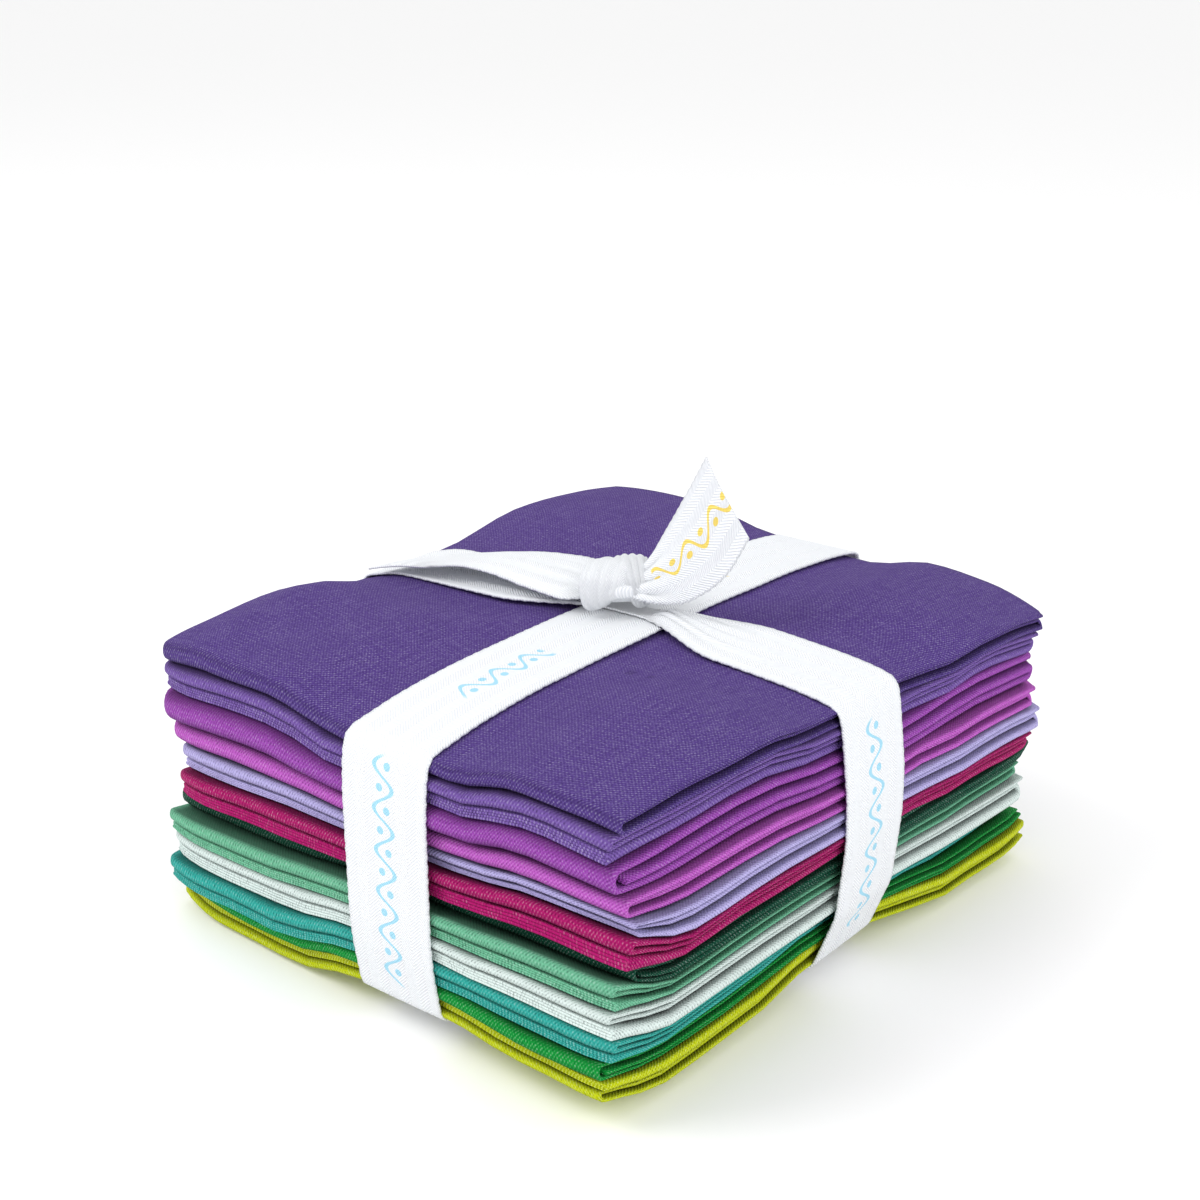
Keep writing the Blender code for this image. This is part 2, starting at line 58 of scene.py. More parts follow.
# %% Camera
MM = 0.001
AZIMUTH = math.radians(41.0)
ELEVATION = math.radians(24.5)
CAMERA_DISTANCE = 0.4125
LENS_MM = 54.0
SENSOR_MM = 36.0
CAMERA_TARGET = Vector((-1.94, 0.22, 33.5)) * MM
CAMERA_SHIFT = (-0.0072, 0.123)


def add_camera():
    """A camera that looks at the bundle from past its front corner."""
    back = Vector((math.sin(AZIMUTH) * math.cos(ELEVATION), -math.cos(AZIMUTH) * math.cos(ELEVATION),
                   math.sin(ELEVATION)))
    lens = bpy.data.cameras.new("camera")
    lens.lens = LENS_MM
    lens.sensor_width = SENSOR_MM
    lens.shift_x, lens.shift_y = CAMERA_SHIFT
    lens.clip_start = 0.01
    camera = bpy.data.objects.new("camera", lens)
    camera.rotation_euler = back.to_track_quat("Z", "Y").to_euler()
    camera.location = CAMERA_TARGET + back * CAMERA_DISTANCE
    bpy.context.collection.objects.link(camera)
    bpy.context.scene.camera = camera
    return camera


print("camera at", [round(value, 3) for value in add_camera().location])

# %% [markdown]
# ## Floor and light
#
# The cloths stand on a white sweep under big soft lights. One wide pale floor gives the same
# picture: a white world lights every side, and two large area lamps give the folds their shade. The
# plain view transform keeps the dyes as strong as they are.

# %% Floor and lamps
FLOOR_REACH = 6.0


def add_floor():
    """A wide pale floor, which isn't part of the object."""
    mesh = bpy.data.meshes.new("studio_floor")
    corners = ((-1, -1), (1, -1), (1, 1), (-1, 1))
    mesh.from_pydata([(x * FLOOR_REACH, y * FLOOR_REACH, 0) for x, y in corners], [], [(0, 1, 2, 3)])
    floor = bpy.data.objects.new("studio_floor", mesh)
    bpy.context.collection.objects.link(floor)
    material = bpy.data.materials.new("pale_floor")
    material.use_nodes = True
    paint = material.node_tree.nodes["Principled BSDF"]
    paint.inputs["Base Color"].default_value = (0.93, 0.93, 0.93, 1)
    paint.inputs["Roughness"].default_value = 0.9
    mesh.materials.append(material)


Lamp = namedtuple("Lamp", "name place width power")
LAMPS = (
    Lamp("key", (-0.55, -0.75, 0.95), 0.6, 6.0),
    Lamp("fill", (0.95, -0.35, 0.65), 0.7, 4.4),
)


def add_lamp(lamp):
    """A square area lamp that faces the bundle."""
    light = bpy.data.lights.new(lamp.name, "AREA")
    light.size = lamp.width
    light.energy = lamp.power
    holder = bpy.data.objects.new(lamp.name, light)
    holder.location = lamp.place
    holder.rotation_euler = (Vector(lamp.place) - CAMERA_TARGET).to_track_quat("Z", "Y").to_euler()
    bpy.context.collection.objects.link(holder)


add_floor()
for lamp in LAMPS:
    add_lamp(lamp)
world = bpy.data.worlds.new("studio_world")
bpy.context.scene.world = world
world.use_nodes = True
world.node_tree.nodes["Background"].inputs["Color"].default_value = (1.0, 1.0, 1.0, 1)
world.node_tree.nodes["Background"].inputs["Strength"].default_value = 1.0
bpy.context.scene.view_settings.view_transform = "Standard"
print(len(LAMPS), "lamps")

# %% [markdown]
# ## The stack's sizes
#
# Every cloth is a fat quarter, 18 in by 21 in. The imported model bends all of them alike: it knows the
# height of the stack on a grid of lines, and each cloth takes its share of that height. The same
# tables stand here, so that a sheet lies exactly where its solid lies.

# %% Sizes and tables
INCH = 25.4
HALF_X = 21 * INCH / 8
HALF_Y = 18 * INCH / 6
RIBBON_TURN = math.radians(2.6)
RIBBON_WIDTH = 22.0
LENGTHWISE_P = 5.2
CROSSWISE_Q = -1.8
GROOVE_HALF = 15.0
TO_PART = (1.56, -0.53)
GRID_P = np.array((-HALF_X, -52, -32, LENGTHWISE_P - GROOVE_HALF, LENGTHWISE_P + GROOVE_HALF, 38, 52,
                   HALF_X))
GRID_Q = np.array((-HALF_Y, -62, -39, CROSSWISE_Q - GROOVE_HALF, CROSSWISE_Q + GROOVE_HALF, 39, 62,
                   HALF_Y))
RIBBON_COLUMNS = (3, 4)
MEAN_HEIGHT = 62.0
LAYER_GAP_SHARE = 0.0069
CROWN = 71.3
Quarter = namedtuple("Quarter", "side end top_edge top_corner bottom_edge bottom_corner shoulder")
QUARTERS = (
    Quarter(-1, -1, 67.6, 64.3, 1.3, 1.6, 0.0),
    Quarter(1, -1, 69.0, 66.8, 6.2, 8.1, 1.5),
    Quarter(1, 1, 67.5, 63.5, 3.4, 5.6, 0.0),
    Quarter(-1, 1, 68.9, 67.2, 2.2, 4.0, 0.0),
)
Groove = namedtuple("Groove", "top top_at_edge bottom bottom_at_edge over_lift")
GROOVE = Groove(3.0, 0.8, 3.6, 2.9, 1.5)
Cloth = namedtuple("Cloth", "name kind left front inner share shift_x shift_y turn short")
CLOTHS = (
    Cloth("cloth_01_dark_purple", "wrap", 4.2, 3.2, 4.0, 0.00, 0.7, 0.0, -0.6, 2.0),
    Cloth("cloth_02_mid_purple", "over", 6.0, 6.8, 6.4, 0.52, 0.0, -0.5, -0.8, 3.0),
    Cloth("cloth_03_orchid_violet", "wrap", 7.5, 6.4, 8.6, 0.00, -0.2, -1.0, -0.2, 2.0),
    Cloth("cloth_04_orchid_pink", "wrap", 5.1, 4.2, 6.0, 0.00, 1.0, 0.4, -0.4, 4.0),
    Cloth("cloth_05_lavender", "over", 5.3, 2.6, 6.4, 0.60, 2.2, 1.0, 0.2, 4.0),
    Cloth("cloth_06_raspberry", "over", 7.3, 8.0, 5.4, 0.50, 2.0, -0.6, 0.4, 5.0),
    Cloth("cloth_07_dark_green", "wrap", 2.6, 2.4, 5.0, 0.00, -0.8, 2.8, 0.6, 0.0),
    Cloth("cloth_08_sea_foam", "over", 6.7, 6.0, 3.0, 0.60, -1.6, -1.9, 0.7, 1.5),
    Cloth("cloth_09_mint_white", "over", 6.3, 6.6, 7.2, 0.46, -0.8, -1.5, 0.0, 2.0),
    Cloth("cloth_10_teal", "over", 7.0, 5.8, 4.2, 0.60, -3.4, -1.5, 1.3, 0.0),
    Cloth("cloth_11_green", "wrap", 3.0, 3.8, 2.8, 0.00, -3.0, 0.0, -0.8, 0.0),
    Cloth("cloth_12_lime", "under", 3.8, 4.6, 6.2, 0.52, -2.4, 1.0, -1.0, 0.0),
)
print(len(CLOTHS), "cloths, folded", round(2 * HALF_X, 1), "by", round(2 * HALF_Y, 1), "mm")

# %% [markdown]
# ## How the ribbon squeezes the stack
#
# The ribbon draws two grooves into the pillow, and the layers between them bulge. A few heights on
# grid lines are enough to say that. Straight lines between them would show as flat fields, so a
# smooth curve runs through the heights instead. It never overshoots, and so the lowest cloth stays
# on the floor.

# %% Heights on the grid
def grid_heights(i, j):
    """Bottom and top of the stack where two grid lines cross."""
    side = -1 if i <= RIBBON_COLUMNS[0] else 1
    end = -1 if j <= RIBBON_COLUMNS[0] else 1
    quarter = next(row for row in QUARTERS if (row.side, row.end) == (side, end))
    u = (GRID_P[i] / HALF_X) ** 4
    v = (GRID_Q[j] / HALF_Y) ** 4
    edge_drop = CROWN - quarter.top_edge
    corner_drop = CROWN - quarter.top_corner - 2 * edge_drop
    top = CROWN - edge_drop * (u + v) - corner_drop * u * v
    last = len(GRID_P) - 1
    on_edges = (i in (0, last)) + (j in (0, last))
    by_edge = i in (1, last - 1) or j in (1, last - 1)
    bottom = (quarter.shoulder * by_edge, quarter.bottom_edge, quarter.bottom_corner)[on_edges]
    along = i in RIBBON_COLUMNS
    across = j in RIBBON_COLUMNS
    if along or across:
        reach = max(v if along else 0.0, u if across else 0.0)
        top -= GROOVE.top + GROOVE.top_at_edge * reach
        bottom = max(bottom + GROOVE.over_lift, GROOVE.bottom + GROOVE.bottom_at_edge * reach)
    return bottom, top


def strip_shares(bulks):
    """Lower and upper share of the height that each strip of each cloth takes, from the top down."""
    parts = {
        "over": lambda share: (share / 2, share / 2, 1 - share),
        "under": lambda share: (1 - share, share / 2, share / 2),
        "wrap": lambda share: (1 / 3, 1 / 3, 1 / 3),
    }
    room = 1 - LAYER_GAP_SHARE * (3 * len(CLOTHS) - 1)
    level = 1.0
    table = []
    for cloth, bulk in zip(CLOTHS, bulks):
        rows = []
        for part in parts[cloth.kind](cloth.share):
            height = room * bulk / sum(bulks) * part
            rows.append((level - height, level))
            level -= height + LAYER_GAP_SHARE
        table.append(rows)
    return table


def local_bulks(i, j):
    """Bulk of every cloth at one crossing of the grid lines."""
    if j > 0:
        return [cloth.inner for cloth in CLOTHS]
    across = (GRID_P[i] + HALF_X) / (2 * HALF_X)
    return [cloth.left + (cloth.front - cloth.left) * across for cloth in CLOTHS]


def rising_levels(table):
    """Every face of every strip, from the bottom up."""
    return sorted(level for rows in table for strip in rows for level in strip)


SHARES = strip_shares([(cloth.left + cloth.front + cloth.inner) / 3 for cloth in CLOTHS])
LEVELS = rising_levels(SHARES)
LINES = range(len(GRID_P))
LOCAL_LEVELS = [[rising_levels(strip_shares(local_bulks(i, j))) for j in LINES] for i in LINES]
HEIGHTS = [[grid_heights(i, j) for j in LINES] for i in LINES]
print("stack", min(row[0] for line in HEIGHTS for row in line), "to",
      round(max(row[1] for line in HEIGHTS for row in line), 1), "mm")

# %% A smooth height for any place
def smooth_through(knots, values, places):
    """Run a curve that never overshoots through values at knots, and read it at places."""
    steps = np.diff(knots)
    slopes = np.diff(values, axis=0) / steps[:, None]
    before, after = slopes[:-1], slopes[1:]
    same_way = before * after > 0
    total = np.where(same_way, before + after, 1.0)
    middle = np.where(same_way, 2 * before * after / total, 0.0)
    tangents = np.concatenate([slopes[:1], middle, slopes[-1:]])
    k = np.clip(np.searchsorted(knots, places) - 1, 0, len(steps) - 1)
    n = np.arange(len(places))
    t = (places - knots[k]) / steps[k]
    inner = np.clip(t, 0, 1)
    start, finish = values[k, n], values[k + 1, n]
    leave, arrive = tangents[k, n] * steps[k], tangents[k + 1, n] * steps[k]
    curve = start * (1 + 2 * inner) * (1 - inner) ** 2 + finish * inner ** 2 * (3 - 2 * inner)
    curve += leave * inner * (1 - inner) ** 2 + arrive * inner ** 2 * (inner - 1)
    return curve + leave * np.minimum(t, 0) + arrive * np.maximum(t - 1, 0)


def stack_height(p, q, s):
    """World height of the share s of the stack over the places p, q."""
    table = np.empty((len(GRID_P), len(GRID_Q), len(p)))
    for i in LINES:
        for j in LINES:
            bottom, top = HEIGHTS[i][j]
            table[i, j] = bottom + np.interp(s, LEVELS, LOCAL_LEVELS[i][j]) * (top - bottom)
    rows = np.stack([smooth_through(GRID_P, table[:, j], p) for j in LINES])
    return smooth_through(GRID_Q, rows, q)


def to_world(p, q, z):
    """Turn places in the ribbon's frame into metres in the part's frame."""
    c, n = math.cos(RIBBON_TURN), math.sin(RIBBON_TURN)
    return np.stack([c * p - n * q + TO_PART[0], n * p + c * q + TO_PART[1], z], axis=-1) * MM


middle_height = stack_height(np.array([0.0]), np.array([0.0]), np.array([1.0]))
print("top at the middle", np.round(middle_height, 1))

# %% [markdown]
# ## One sheet, folded twice
#
# A shop folds a fat quarter in four across its width, and the packet of four plies in three along
# its length. Here the sheet itself is folded: one curve says how the plies run from side to side and
# turn at the ends, a second curve says how the packet runs from back to front, and every point of
# the sheet is a point of both. The open loops at the right and the broad folds in front then come by
# themselves.

# %% The curve across: four plies
PLY_OUTER = 0.365
PLY_INNER = 0.125
PLY_HALF = 0.105
TURN_STEPS = 7
BUNCHING = 0.55


def run_shares(steps):
    """Places along a run, closer together near both ends."""
    even = np.linspace(0, 1, steps + 1)
    return even - BUNCHING / (2 * math.pi) * np.sin(2 * math.pi * even)


def turn_angles(first, last):
    """Angles through a half turn, without its two ends."""
    return np.radians(np.linspace(first, last, TURN_STEPS + 2)[1:-1])


def plies_across(side, bulk, steps):
    """One surface of the four plies: share of the width, offset in mm, and place in the packet."""
    runs = run_shares(steps)
    outer = PLY_OUTER + side * PLY_HALF
    lower = PLY_INNER + side * PLY_HALF
    inner = PLY_INNER - side * PLY_HALF
    down = turn_angles(90, -90)
    up = turn_angles(-90, 90)
    nest = 0.5 * bulk
    centre = (PLY_OUTER + PLY_INNER) / 2
    pieces = [
        (runs, 0 * runs, 0 * runs + outer),
        (0 * down + 1, outer * bulk * np.cos(down) - nest, outer * np.sin(down)),
        (runs[::-1], 0 * runs, 0 * runs - outer),
        (0 * up, nest - lower * bulk * np.cos(up), lower * np.sin(up) - centre),
        (runs, 0 * runs, 0 * runs - inner),
        (0 * up + 1, inner * bulk * np.cos(up) - nest, inner * np.sin(up)),
        (runs[::-1], 0 * runs, 0 * runs + inner),
    ]
    table = np.concatenate([np.stack(piece, axis=1) for piece in pieces])
    at_right = table[:, 0] == 1
    at_left = table[:, 0] == 0
    table[:, 1] = np.where(at_right & (table[:, 1] == 0), -nest, table[:, 1])
    table[:, 1] = np.where(at_left & (table[:, 1] == 0), nest, table[:, 1])
    return table


print(len(plies_across(1, 2.0, 20)), "points across one surface")

# %% The curve along: three strips
FREE_EDGE_SET_BACK = 0.8
SQUARENESS = 0.7
Station = namedtuple("Station", "along inset middle thick radius factor sine swing nudge")
STRIP_NUDGES = ((0.0, -0.9, 0.3), (0.2, -0.5, -1.0), (-0.7, 0.3, -0.4), (0.3, -1.1, 0.0))


def strips_along(cloth, strips, steps):
    """Stations from the first free edge to the last, with what a ply needs to find its place."""
    order = (0, 2, 1) if cloth.kind == "wrap" else (0, 1, 2)
    end = -1 if cloth.kind == "under" else 1
    nudges = STRIP_NUDGES[CLOTHS.index(cloth) % len(STRIP_NUDGES)]
    middles = [(low + high) / 2 * MEAN_HEIGHT for low, high in strips]
    thicks = [(high - low) * MEAN_HEIGHT for low, high in strips]
    reaches = [(abs(middles[one] - middles[two]) + max(thicks[one], thicks[two])) / 2
               for one, two in zip(order, order[1:])]
    insets = [FREE_EDGE_SET_BACK] + reaches + [reaches[0] if cloth.kind == "wrap" else FREE_EDGE_SET_BACK]
    stations = []
    sign = 1
    for number, strip in enumerate(order):
        for share in run_shares(steps):
            along = 1 - share if end > 0 else share
            inset = end * (insets[number + 1] * share - insets[number] * (1 - share))
            stations.append(Station(along, inset, middles[strip], thicks[strip], 0, sign, 1, 0,
                                    nudges[strip]))
        end = -end
        if number == len(order) - 1:
            break
        after = order[number + 1]
        falling = 1 if middles[strip] > middles[after] else -1
        radius = abs(middles[strip] - middles[after]) / 2
        angles = turn_angles(90 * falling, -90 * falling)
        for share, angle in zip(np.linspace(0, 1, TURN_STEPS + 2)[1:-1], angles):
            thick = thicks[strip] + (thicks[after] - thicks[strip]) * share
            nudge = nudges[strip] + (nudges[after] - nudges[strip]) * share
            stations.append(Station((end + 1) / 2, -end * reaches[number],
                                    (middles[strip] + middles[after]) / 2, thick, radius,
                                    falling * sign, math.sin(angle),
                                    end * math.cos(angle) ** SQUARENESS, nudge))
        sign = -sign
    return stations


def ends_of(cloth):
    """The four corners of a folded cloth in the ribbon's frame, by side and end."""
    turn = math.radians(cloth.turn) - RIBBON_TURN
    c, n = math.cos(turn), math.sin(turn)
    cr, nr = math.cos(RIBBON_TURN), math.sin(RIBBON_TURN)
    shift = (cloth.shift_x * cr + cloth.shift_y * nr, cloth.shift_y * cr - cloth.shift_x * nr)
    corners = {}
    for side in (-1, 1):
        for end in (-1, 1):
            x, y = side * HALF_X, end * HALF_Y - cloth.short * (end > 0)
            corners[side, end] = (c * x - n * y + shift[0], n * x + c * y + shift[1])
    return corners


print(len(strips_along(CLOTHS[0], SHARES[0], 18)), "stations along")

# %% [markdown]
# ## Corners and waves
#
# No fold in a shop's bundle is ruled. The corners of a packet draw in, the crosswise ribbon presses
# the open loops, and each folded edge wanders a little. The numbers below are small, and each cloth
# gets its own phase, so that neighbours differ.

# %% Edges of a folded cloth
FRONT_LEFT_DRAW = 2.0
FRONT_RIGHT_DRAW = 0.5
BACK_LEFT_DRAW = 2.2
BACK_RIGHT_DRAW = (6.4, 1.4)
DRAW_POWER = 1.8
PRESSED_IN = (-0.6, 2.8, 5.9)
PRESSED_FADE = 18.0
WAVES = ((41.0, 0.28, 1.9), (23.0, 0.14, 3.1))
END_WANDER = 0.8
SIDE_WANDER = 0.7


def eased(value):
    """A soft step from 0 to 1."""
    value = np.clip(value, 0, 1)
    return value * value * (3 - 2 * value)


def drawn_in(places, inner, half, at_low, at_high):
    """How much the two corners of an edge draw in, more and more towards each corner."""
    limit = np.where(places > 0, inner[-1], -inner[0])
    most = np.where(places > 0, at_high, at_low)
    return most * np.clip((np.abs(places) - limit) / (half - limit), 0, 1.1) ** DRAW_POWER


def back_right_draw(number):
    """The back right corners draw in most at the top of the stack."""
    at_top, at_bottom = BACK_RIGHT_DRAW
    return at_top + (at_bottom - at_top) * number / (len(CLOTHS) - 1)


def wandering(places, number, edge):
    """A slow wave along an edge, in mm."""
    total = np.zeros_like(places)
    for length, height, phase in WAVES:
        total += height * np.sin(places / length * 2 * math.pi + phase * number + 2.3 * edge)
    return total


def front_or_back(cloth, end, p):
    """Where the front or the back edge lies at p."""
    number = CLOTHS.index(cloth)
    corners = ends_of(cloth)
    (pl, ql), (pr, qr) = corners[-1, end], corners[1, end]
    straight = ql + (qr - ql) * (p - pl) / (pr - pl)
    draws = (FRONT_LEFT_DRAW, FRONT_RIGHT_DRAW) if end < 0 else (BACK_LEFT_DRAW, back_right_draw(number))
    straight = straight - end * drawn_in(p, GRID_P[1:-1], HALF_X, *draws)
    return straight + wandering(p, number, end) * END_WANDER


def left_or_right(cloth, side, q):
    """Where the left or the right end lies at q."""
    number = CLOTHS.index(cloth)
    corners = ends_of(cloth)
    (pf, qf), (pb, qb) = corners[side, -1], corners[side, 1]
    straight = pf + (pb - pf) * (q - qf) / (qb - qf)
    if side > 0:
        (low, _), (_, high) = SHARES[number][::2]
        away = low + high - 1
        at_middle, at_top, at_bottom = PRESSED_IN
        most = HALF_X - at_middle - ((at_top if away > 0 else at_bottom) - at_middle) * away ** 2
        near = 1 - eased((np.abs(q - CROSSWISE_Q) - GROOVE_HALF) / PRESSED_FADE)
        straight = straight + near * (np.minimum(straight, most) - straight)
    draws = (FRONT_LEFT_DRAW, BACK_LEFT_DRAW) if side < 0 else (FRONT_RIGHT_DRAW, back_right_draw(number))
    straight = straight - side * drawn_in(q, GRID_Q[1:-1], HALF_Y, *draws)
    return straight + wandering(q, number, side) * SIDE_WANDER


Crease = namedtuple("Crease", "p q angle length width rise depth")
CREASES = (
    Crease(-14, -24, 62, 40, 5.0, 0.5, 0.25),
    Crease(24, -18, -38, 46, 6.0, -0.6, 0.25),
    Crease(30, 20, 24, 50, 6.0, 0.5, 0.25),
    Crease(-22, 24, 150, 44, 6.0, -0.5, 0.25),
    Crease(-34, -30, 20, 60, 9.0, 0.5, 0.30),
    Crease(44, -44, -50, 50, 8.0, 0.5, 0.30),
    Crease(-56, -40, 90, 62, 12.0, 3.0, 0.09),
    Crease(-54, 48, 90, 50, 15.0, 1.4, 0.09),
    Crease(27, -74, 0, 26, 14.0, -1.2, 1.00),
)


def creases(p, q, s):
    """Soft troughs and ridges, which fade on the way down through the stack."""
    total = np.zeros_like(p)
    for crease in CREASES:
        turn = math.radians(crease.angle)
        along = (p - crease.p) * math.cos(turn) + (q - crease.q) * math.sin(turn)
        across = (q - crease.q) * math.cos(turn) - (p - crease.p) * math.sin(turn)
        shape = np.exp(-(across / crease.width) ** 2 - (2 * along / crease.length) ** 2)
        total += crease.rise * shape * eased((s - 1 + crease.depth) / crease.depth)
    return total


print(len(CREASES), "creases by hand")

# %% [markdown]
# ## From the two curves to a mesh
#
# Each pair of a point across and a station along is one point of the sheet. Both surfaces of the
# sheet are made in one go, as one closed ring that is carried from station to station, and its two
# ends are closed with a strip of faces. The flat cloth's own millimetres become its UV map, so that
# the weave will follow every fold. A second value at each point says how open it lies to the light,
# and the material paints shade from it, so that the dye is darker down in the folds between the layers.

# %% Make a folded sheet
def lengths_along(points):
    """Distance from the first point to each point."""
    return np.concatenate([[0], np.cumsum(np.linalg.norm(np.diff(points, axis=0), axis=1))])


def mesh_object(name, places, faces, uv):
    """A smooth mesh object from arrays of places, faces and a UV place for each point."""
    mesh = bpy.data.meshes.new(name)
    mesh.from_pydata(places.tolist(), [], [tuple(face) for face in faces.tolist()])
    layer = mesh.uv_layers.new(name="UVMap")
    corners = np.empty(len(mesh.loops), dtype=np.int32)
    mesh.loops.foreach_get("vertex_index", corners)
    layer.data.foreach_set("uv", uv[corners].astype(np.float32).ravel())
    mesh.shade_smooth()
    piece = bpy.data.objects.new(name, mesh)
    bpy.context.collection.objects.link(piece)
    return piece


def store(piece, label, values):
    """Keep one number for each point of a piece."""
    piece.data.attributes.new(label, "FLOAT", "POINT").data.foreach_set("value", values)


def ring_faces(stations, ring):
    """Faces between neighbouring rings, and a strip that closes each end."""
    first = np.arange(ring)
    after = (first + 1) % ring
    rows = np.arange(stations - 1)[:, None] * ring
    sides = np.stack([rows + first, rows + after, rows + ring + after, rows + ring + first], axis=-1)
    half = np.arange(ring // 2 - 1)
    start = np.stack([half + 1, half, ring - 1 - half, ring - 2 - half], axis=-1)
    finish = start[:, ::-1] + (stations - 1) * ring
    return np.concatenate([sides.reshape(-1, 4), start, finish])


def outward(places, faces):
    """Turn the faces round where they point inwards."""
    a, b, c, d = (places[faces[:, k]] for k in range(4))
    volume = np.sum(np.cross(c - a, d - b) * (a + b + c + d))
    return faces if volume > 0 else faces[:, ::-1]


# How far the painted shade fades in from the folded ends, from the sides and from the outer faces.
SHADE_END_DEPTH = 0.8
SHADE_SIDE_DEPTH = 1.1
SHADE_FACE_DEPTH = 0.012
FLOOR_CLEARANCE = 0.02
TOP_CLOTH_STEPS = (34, 30)
CLOTH_STEPS = (20, 16)


def painted_fold_light(row, radius, ring, s):
    """1 on the outer curves, fading to 0 down in the folds, where little light comes; it sets the painted
    shade.
    """
    reach = row.along * 2 * HALF_Y + row.inset + row.swing * radius
    from_end = np.minimum(reach, 2 * HALF_Y - reach)
    place = ring[:, 0] * 2 * HALF_X + ring[:, 1]
    from_side = np.minimum(place - place.min(), place.max() - place)[None, :]
    shown = np.maximum(np.exp(-np.clip(from_end, 0, None) / SHADE_END_DEPTH), np.exp(-from_side / SHADE_SIDE_DEPTH))
    shown[[0, -1]] = 1
    face = np.minimum(np.abs(s - 1), np.abs(s))
    return np.maximum(shown.ravel(), 1 - np.clip(face / SHADE_FACE_DEPTH, 0, 1))


def folded_sheet(cloth, strips, steps_across, steps_along):
    """The whole fat quarter, folded in four and in three, as one closed thin sheet."""
    bulk = (strips[0][1] - strips[-1][0]) * MEAN_HEIGHT / 3
    top = plies_across(1, bulk, steps_across)
    under = plies_across(-1, bulk, steps_across)
    ring = np.concatenate([top, under[::-1]])
    share, offset, packet = ring[:, 0], ring[:, 1], ring[:, 2]
    rows = np.array(strips_along(cloth, strips, steps_along))
    row = Station(*(rows[:, k:k + 1] for k in range(rows.shape[1])))
    radius = row.radius + row.factor * packet * row.thick
    height = row.middle + radius * row.sine
    nominal = -HALF_X + 2 * HALF_X * share
    front, back = front_or_back(cloth, -1, nominal), front_or_back(cloth, 1, nominal)
    q = front + (back - front) * row.along + row.inset + row.swing * radius
    left, right = left_or_right(cloth, -1, q), left_or_right(cloth, 1, q)
    p = left + (right + row.nudge - left) * share + offset
    p, q, s = p.ravel(), q.ravel(), height.ravel() / MEAN_HEIGHT
    z = stack_height(p, q, s) + creases(p, q, s)
    places = to_world(p, q, np.maximum(z, FLOOR_CLEARANCE))
    across = lengths_along(np.stack([top[:, 0] * 2 * HALF_X + top[:, 1], top[:, 2] * bulk], axis=1))
    middle = (row.inset + row.along * 2 * HALF_Y + row.swing * row.radius,
              row.middle + row.radius * row.sine)
    along = lengths_along(np.concatenate(middle, axis=1))
    u = np.tile(np.concatenate([across, across[::-1]]), len(along))
    v = np.repeat(along, len(ring))
    faces = outward(places, ring_faces(len(along), len(ring)))
    name = cloth.name.replace("cloth", "sheet")
    piece = mesh_object(name, places, faces, np.stack([u, v], axis=1))
    # Painted shade: each point keeps how much light its dye shows, less down in the folds.
    store(piece, "painted_fold_light", painted_fold_light(row, radius, ring, s))
    return piece


sheets = {}
for cloth, strips in zip(CLOTHS, SHARES):
    steps = TOP_CLOTH_STEPS if cloth is CLOTHS[0] else CLOTH_STEPS
    sheets[cloth.name] = folded_sheet(cloth, strips, *steps)
print([len(sheet.data.polygons) for sheet in sheets.values()], "faces")

# %% [markdown]
# ## Ribbon: the path of a taut band
#
# A ribbon under tension takes the shortest way round the stack, and that is the convex hull of what
# it touches. So the hull of the sheets' own points gives the path of each band. The crosswise band
# lies outside the lengthwise one, and the knot gathers it to a quarter of its width.

# %% Paths round the stack
RIBBON_GAP = 0.25
RIBBON_THICKNESS = 0.5
PATH_STEP = 1.0
SMOOTHINGS = 2
TOUCHING = 0.6


def to_ribbon(places):
    """Places of the part's frame, in mm in the ribbon's frame."""
    x, y = places[:, 0] / MM - TO_PART[0], places[:, 1] / MM - TO_PART[1]
    c, n = math.cos(RIBBON_TURN), math.sin(RIBBON_TURN)
    return np.stack([c * x + n * y, c * y - n * x, places[:, 2] / MM], axis=1)


def points_of(piece):
    """The places of a mesh object's points."""
    flat = np.empty(len(piece.data.vertices) * 3)
    piece.data.vertices.foreach_get("co", flat)
    return flat.reshape(-1, 3)


def even_loop(loop):
    """The same closed path with points even steps apart."""
    closed = np.concatenate([loop, loop[:1]])
    at = lengths_along(closed)
    wanted = np.linspace(0, at[-1], round(at[-1] / PATH_STEP) + 1)[:-1]
    return np.stack([np.interp(wanted, at, closed[:, k]) for k in (0, 1)], axis=1)


def taut_path(points, gap):
    """The shortest way round points, a gap away from them, from the middle of the underside."""
    flat = [Vector(point) for point in points.tolist()]
    hull = np.array([flat[index] for index in convex_hull_2d(flat)])
    turn = np.roll(hull, -1, axis=0)
    if np.sum(hull[:, 0] * turn[:, 1] - turn[:, 0] * hull[:, 1]) < 0:
        hull = hull[::-1]
    loop = even_loop(hull)
    along = np.roll(loop, -1, axis=0) - np.roll(loop, 1, axis=0)
    along /= np.linalg.norm(along, axis=1)[:, None]
    loop = loop + gap * np.stack([along[:, 1], -along[:, 0]], axis=1)
    for _ in range(SMOOTHINGS):
        loop = (np.roll(loop, 1, axis=0) + 2 * loop + np.roll(loop, -1, axis=0)) / 4
    start = np.argmin(np.where(loop[:, 1] > MEAN_HEIGHT / 2, np.inf, np.abs(loop[:, 0])))
    return even_loop(np.roll(loop, -start, axis=0))


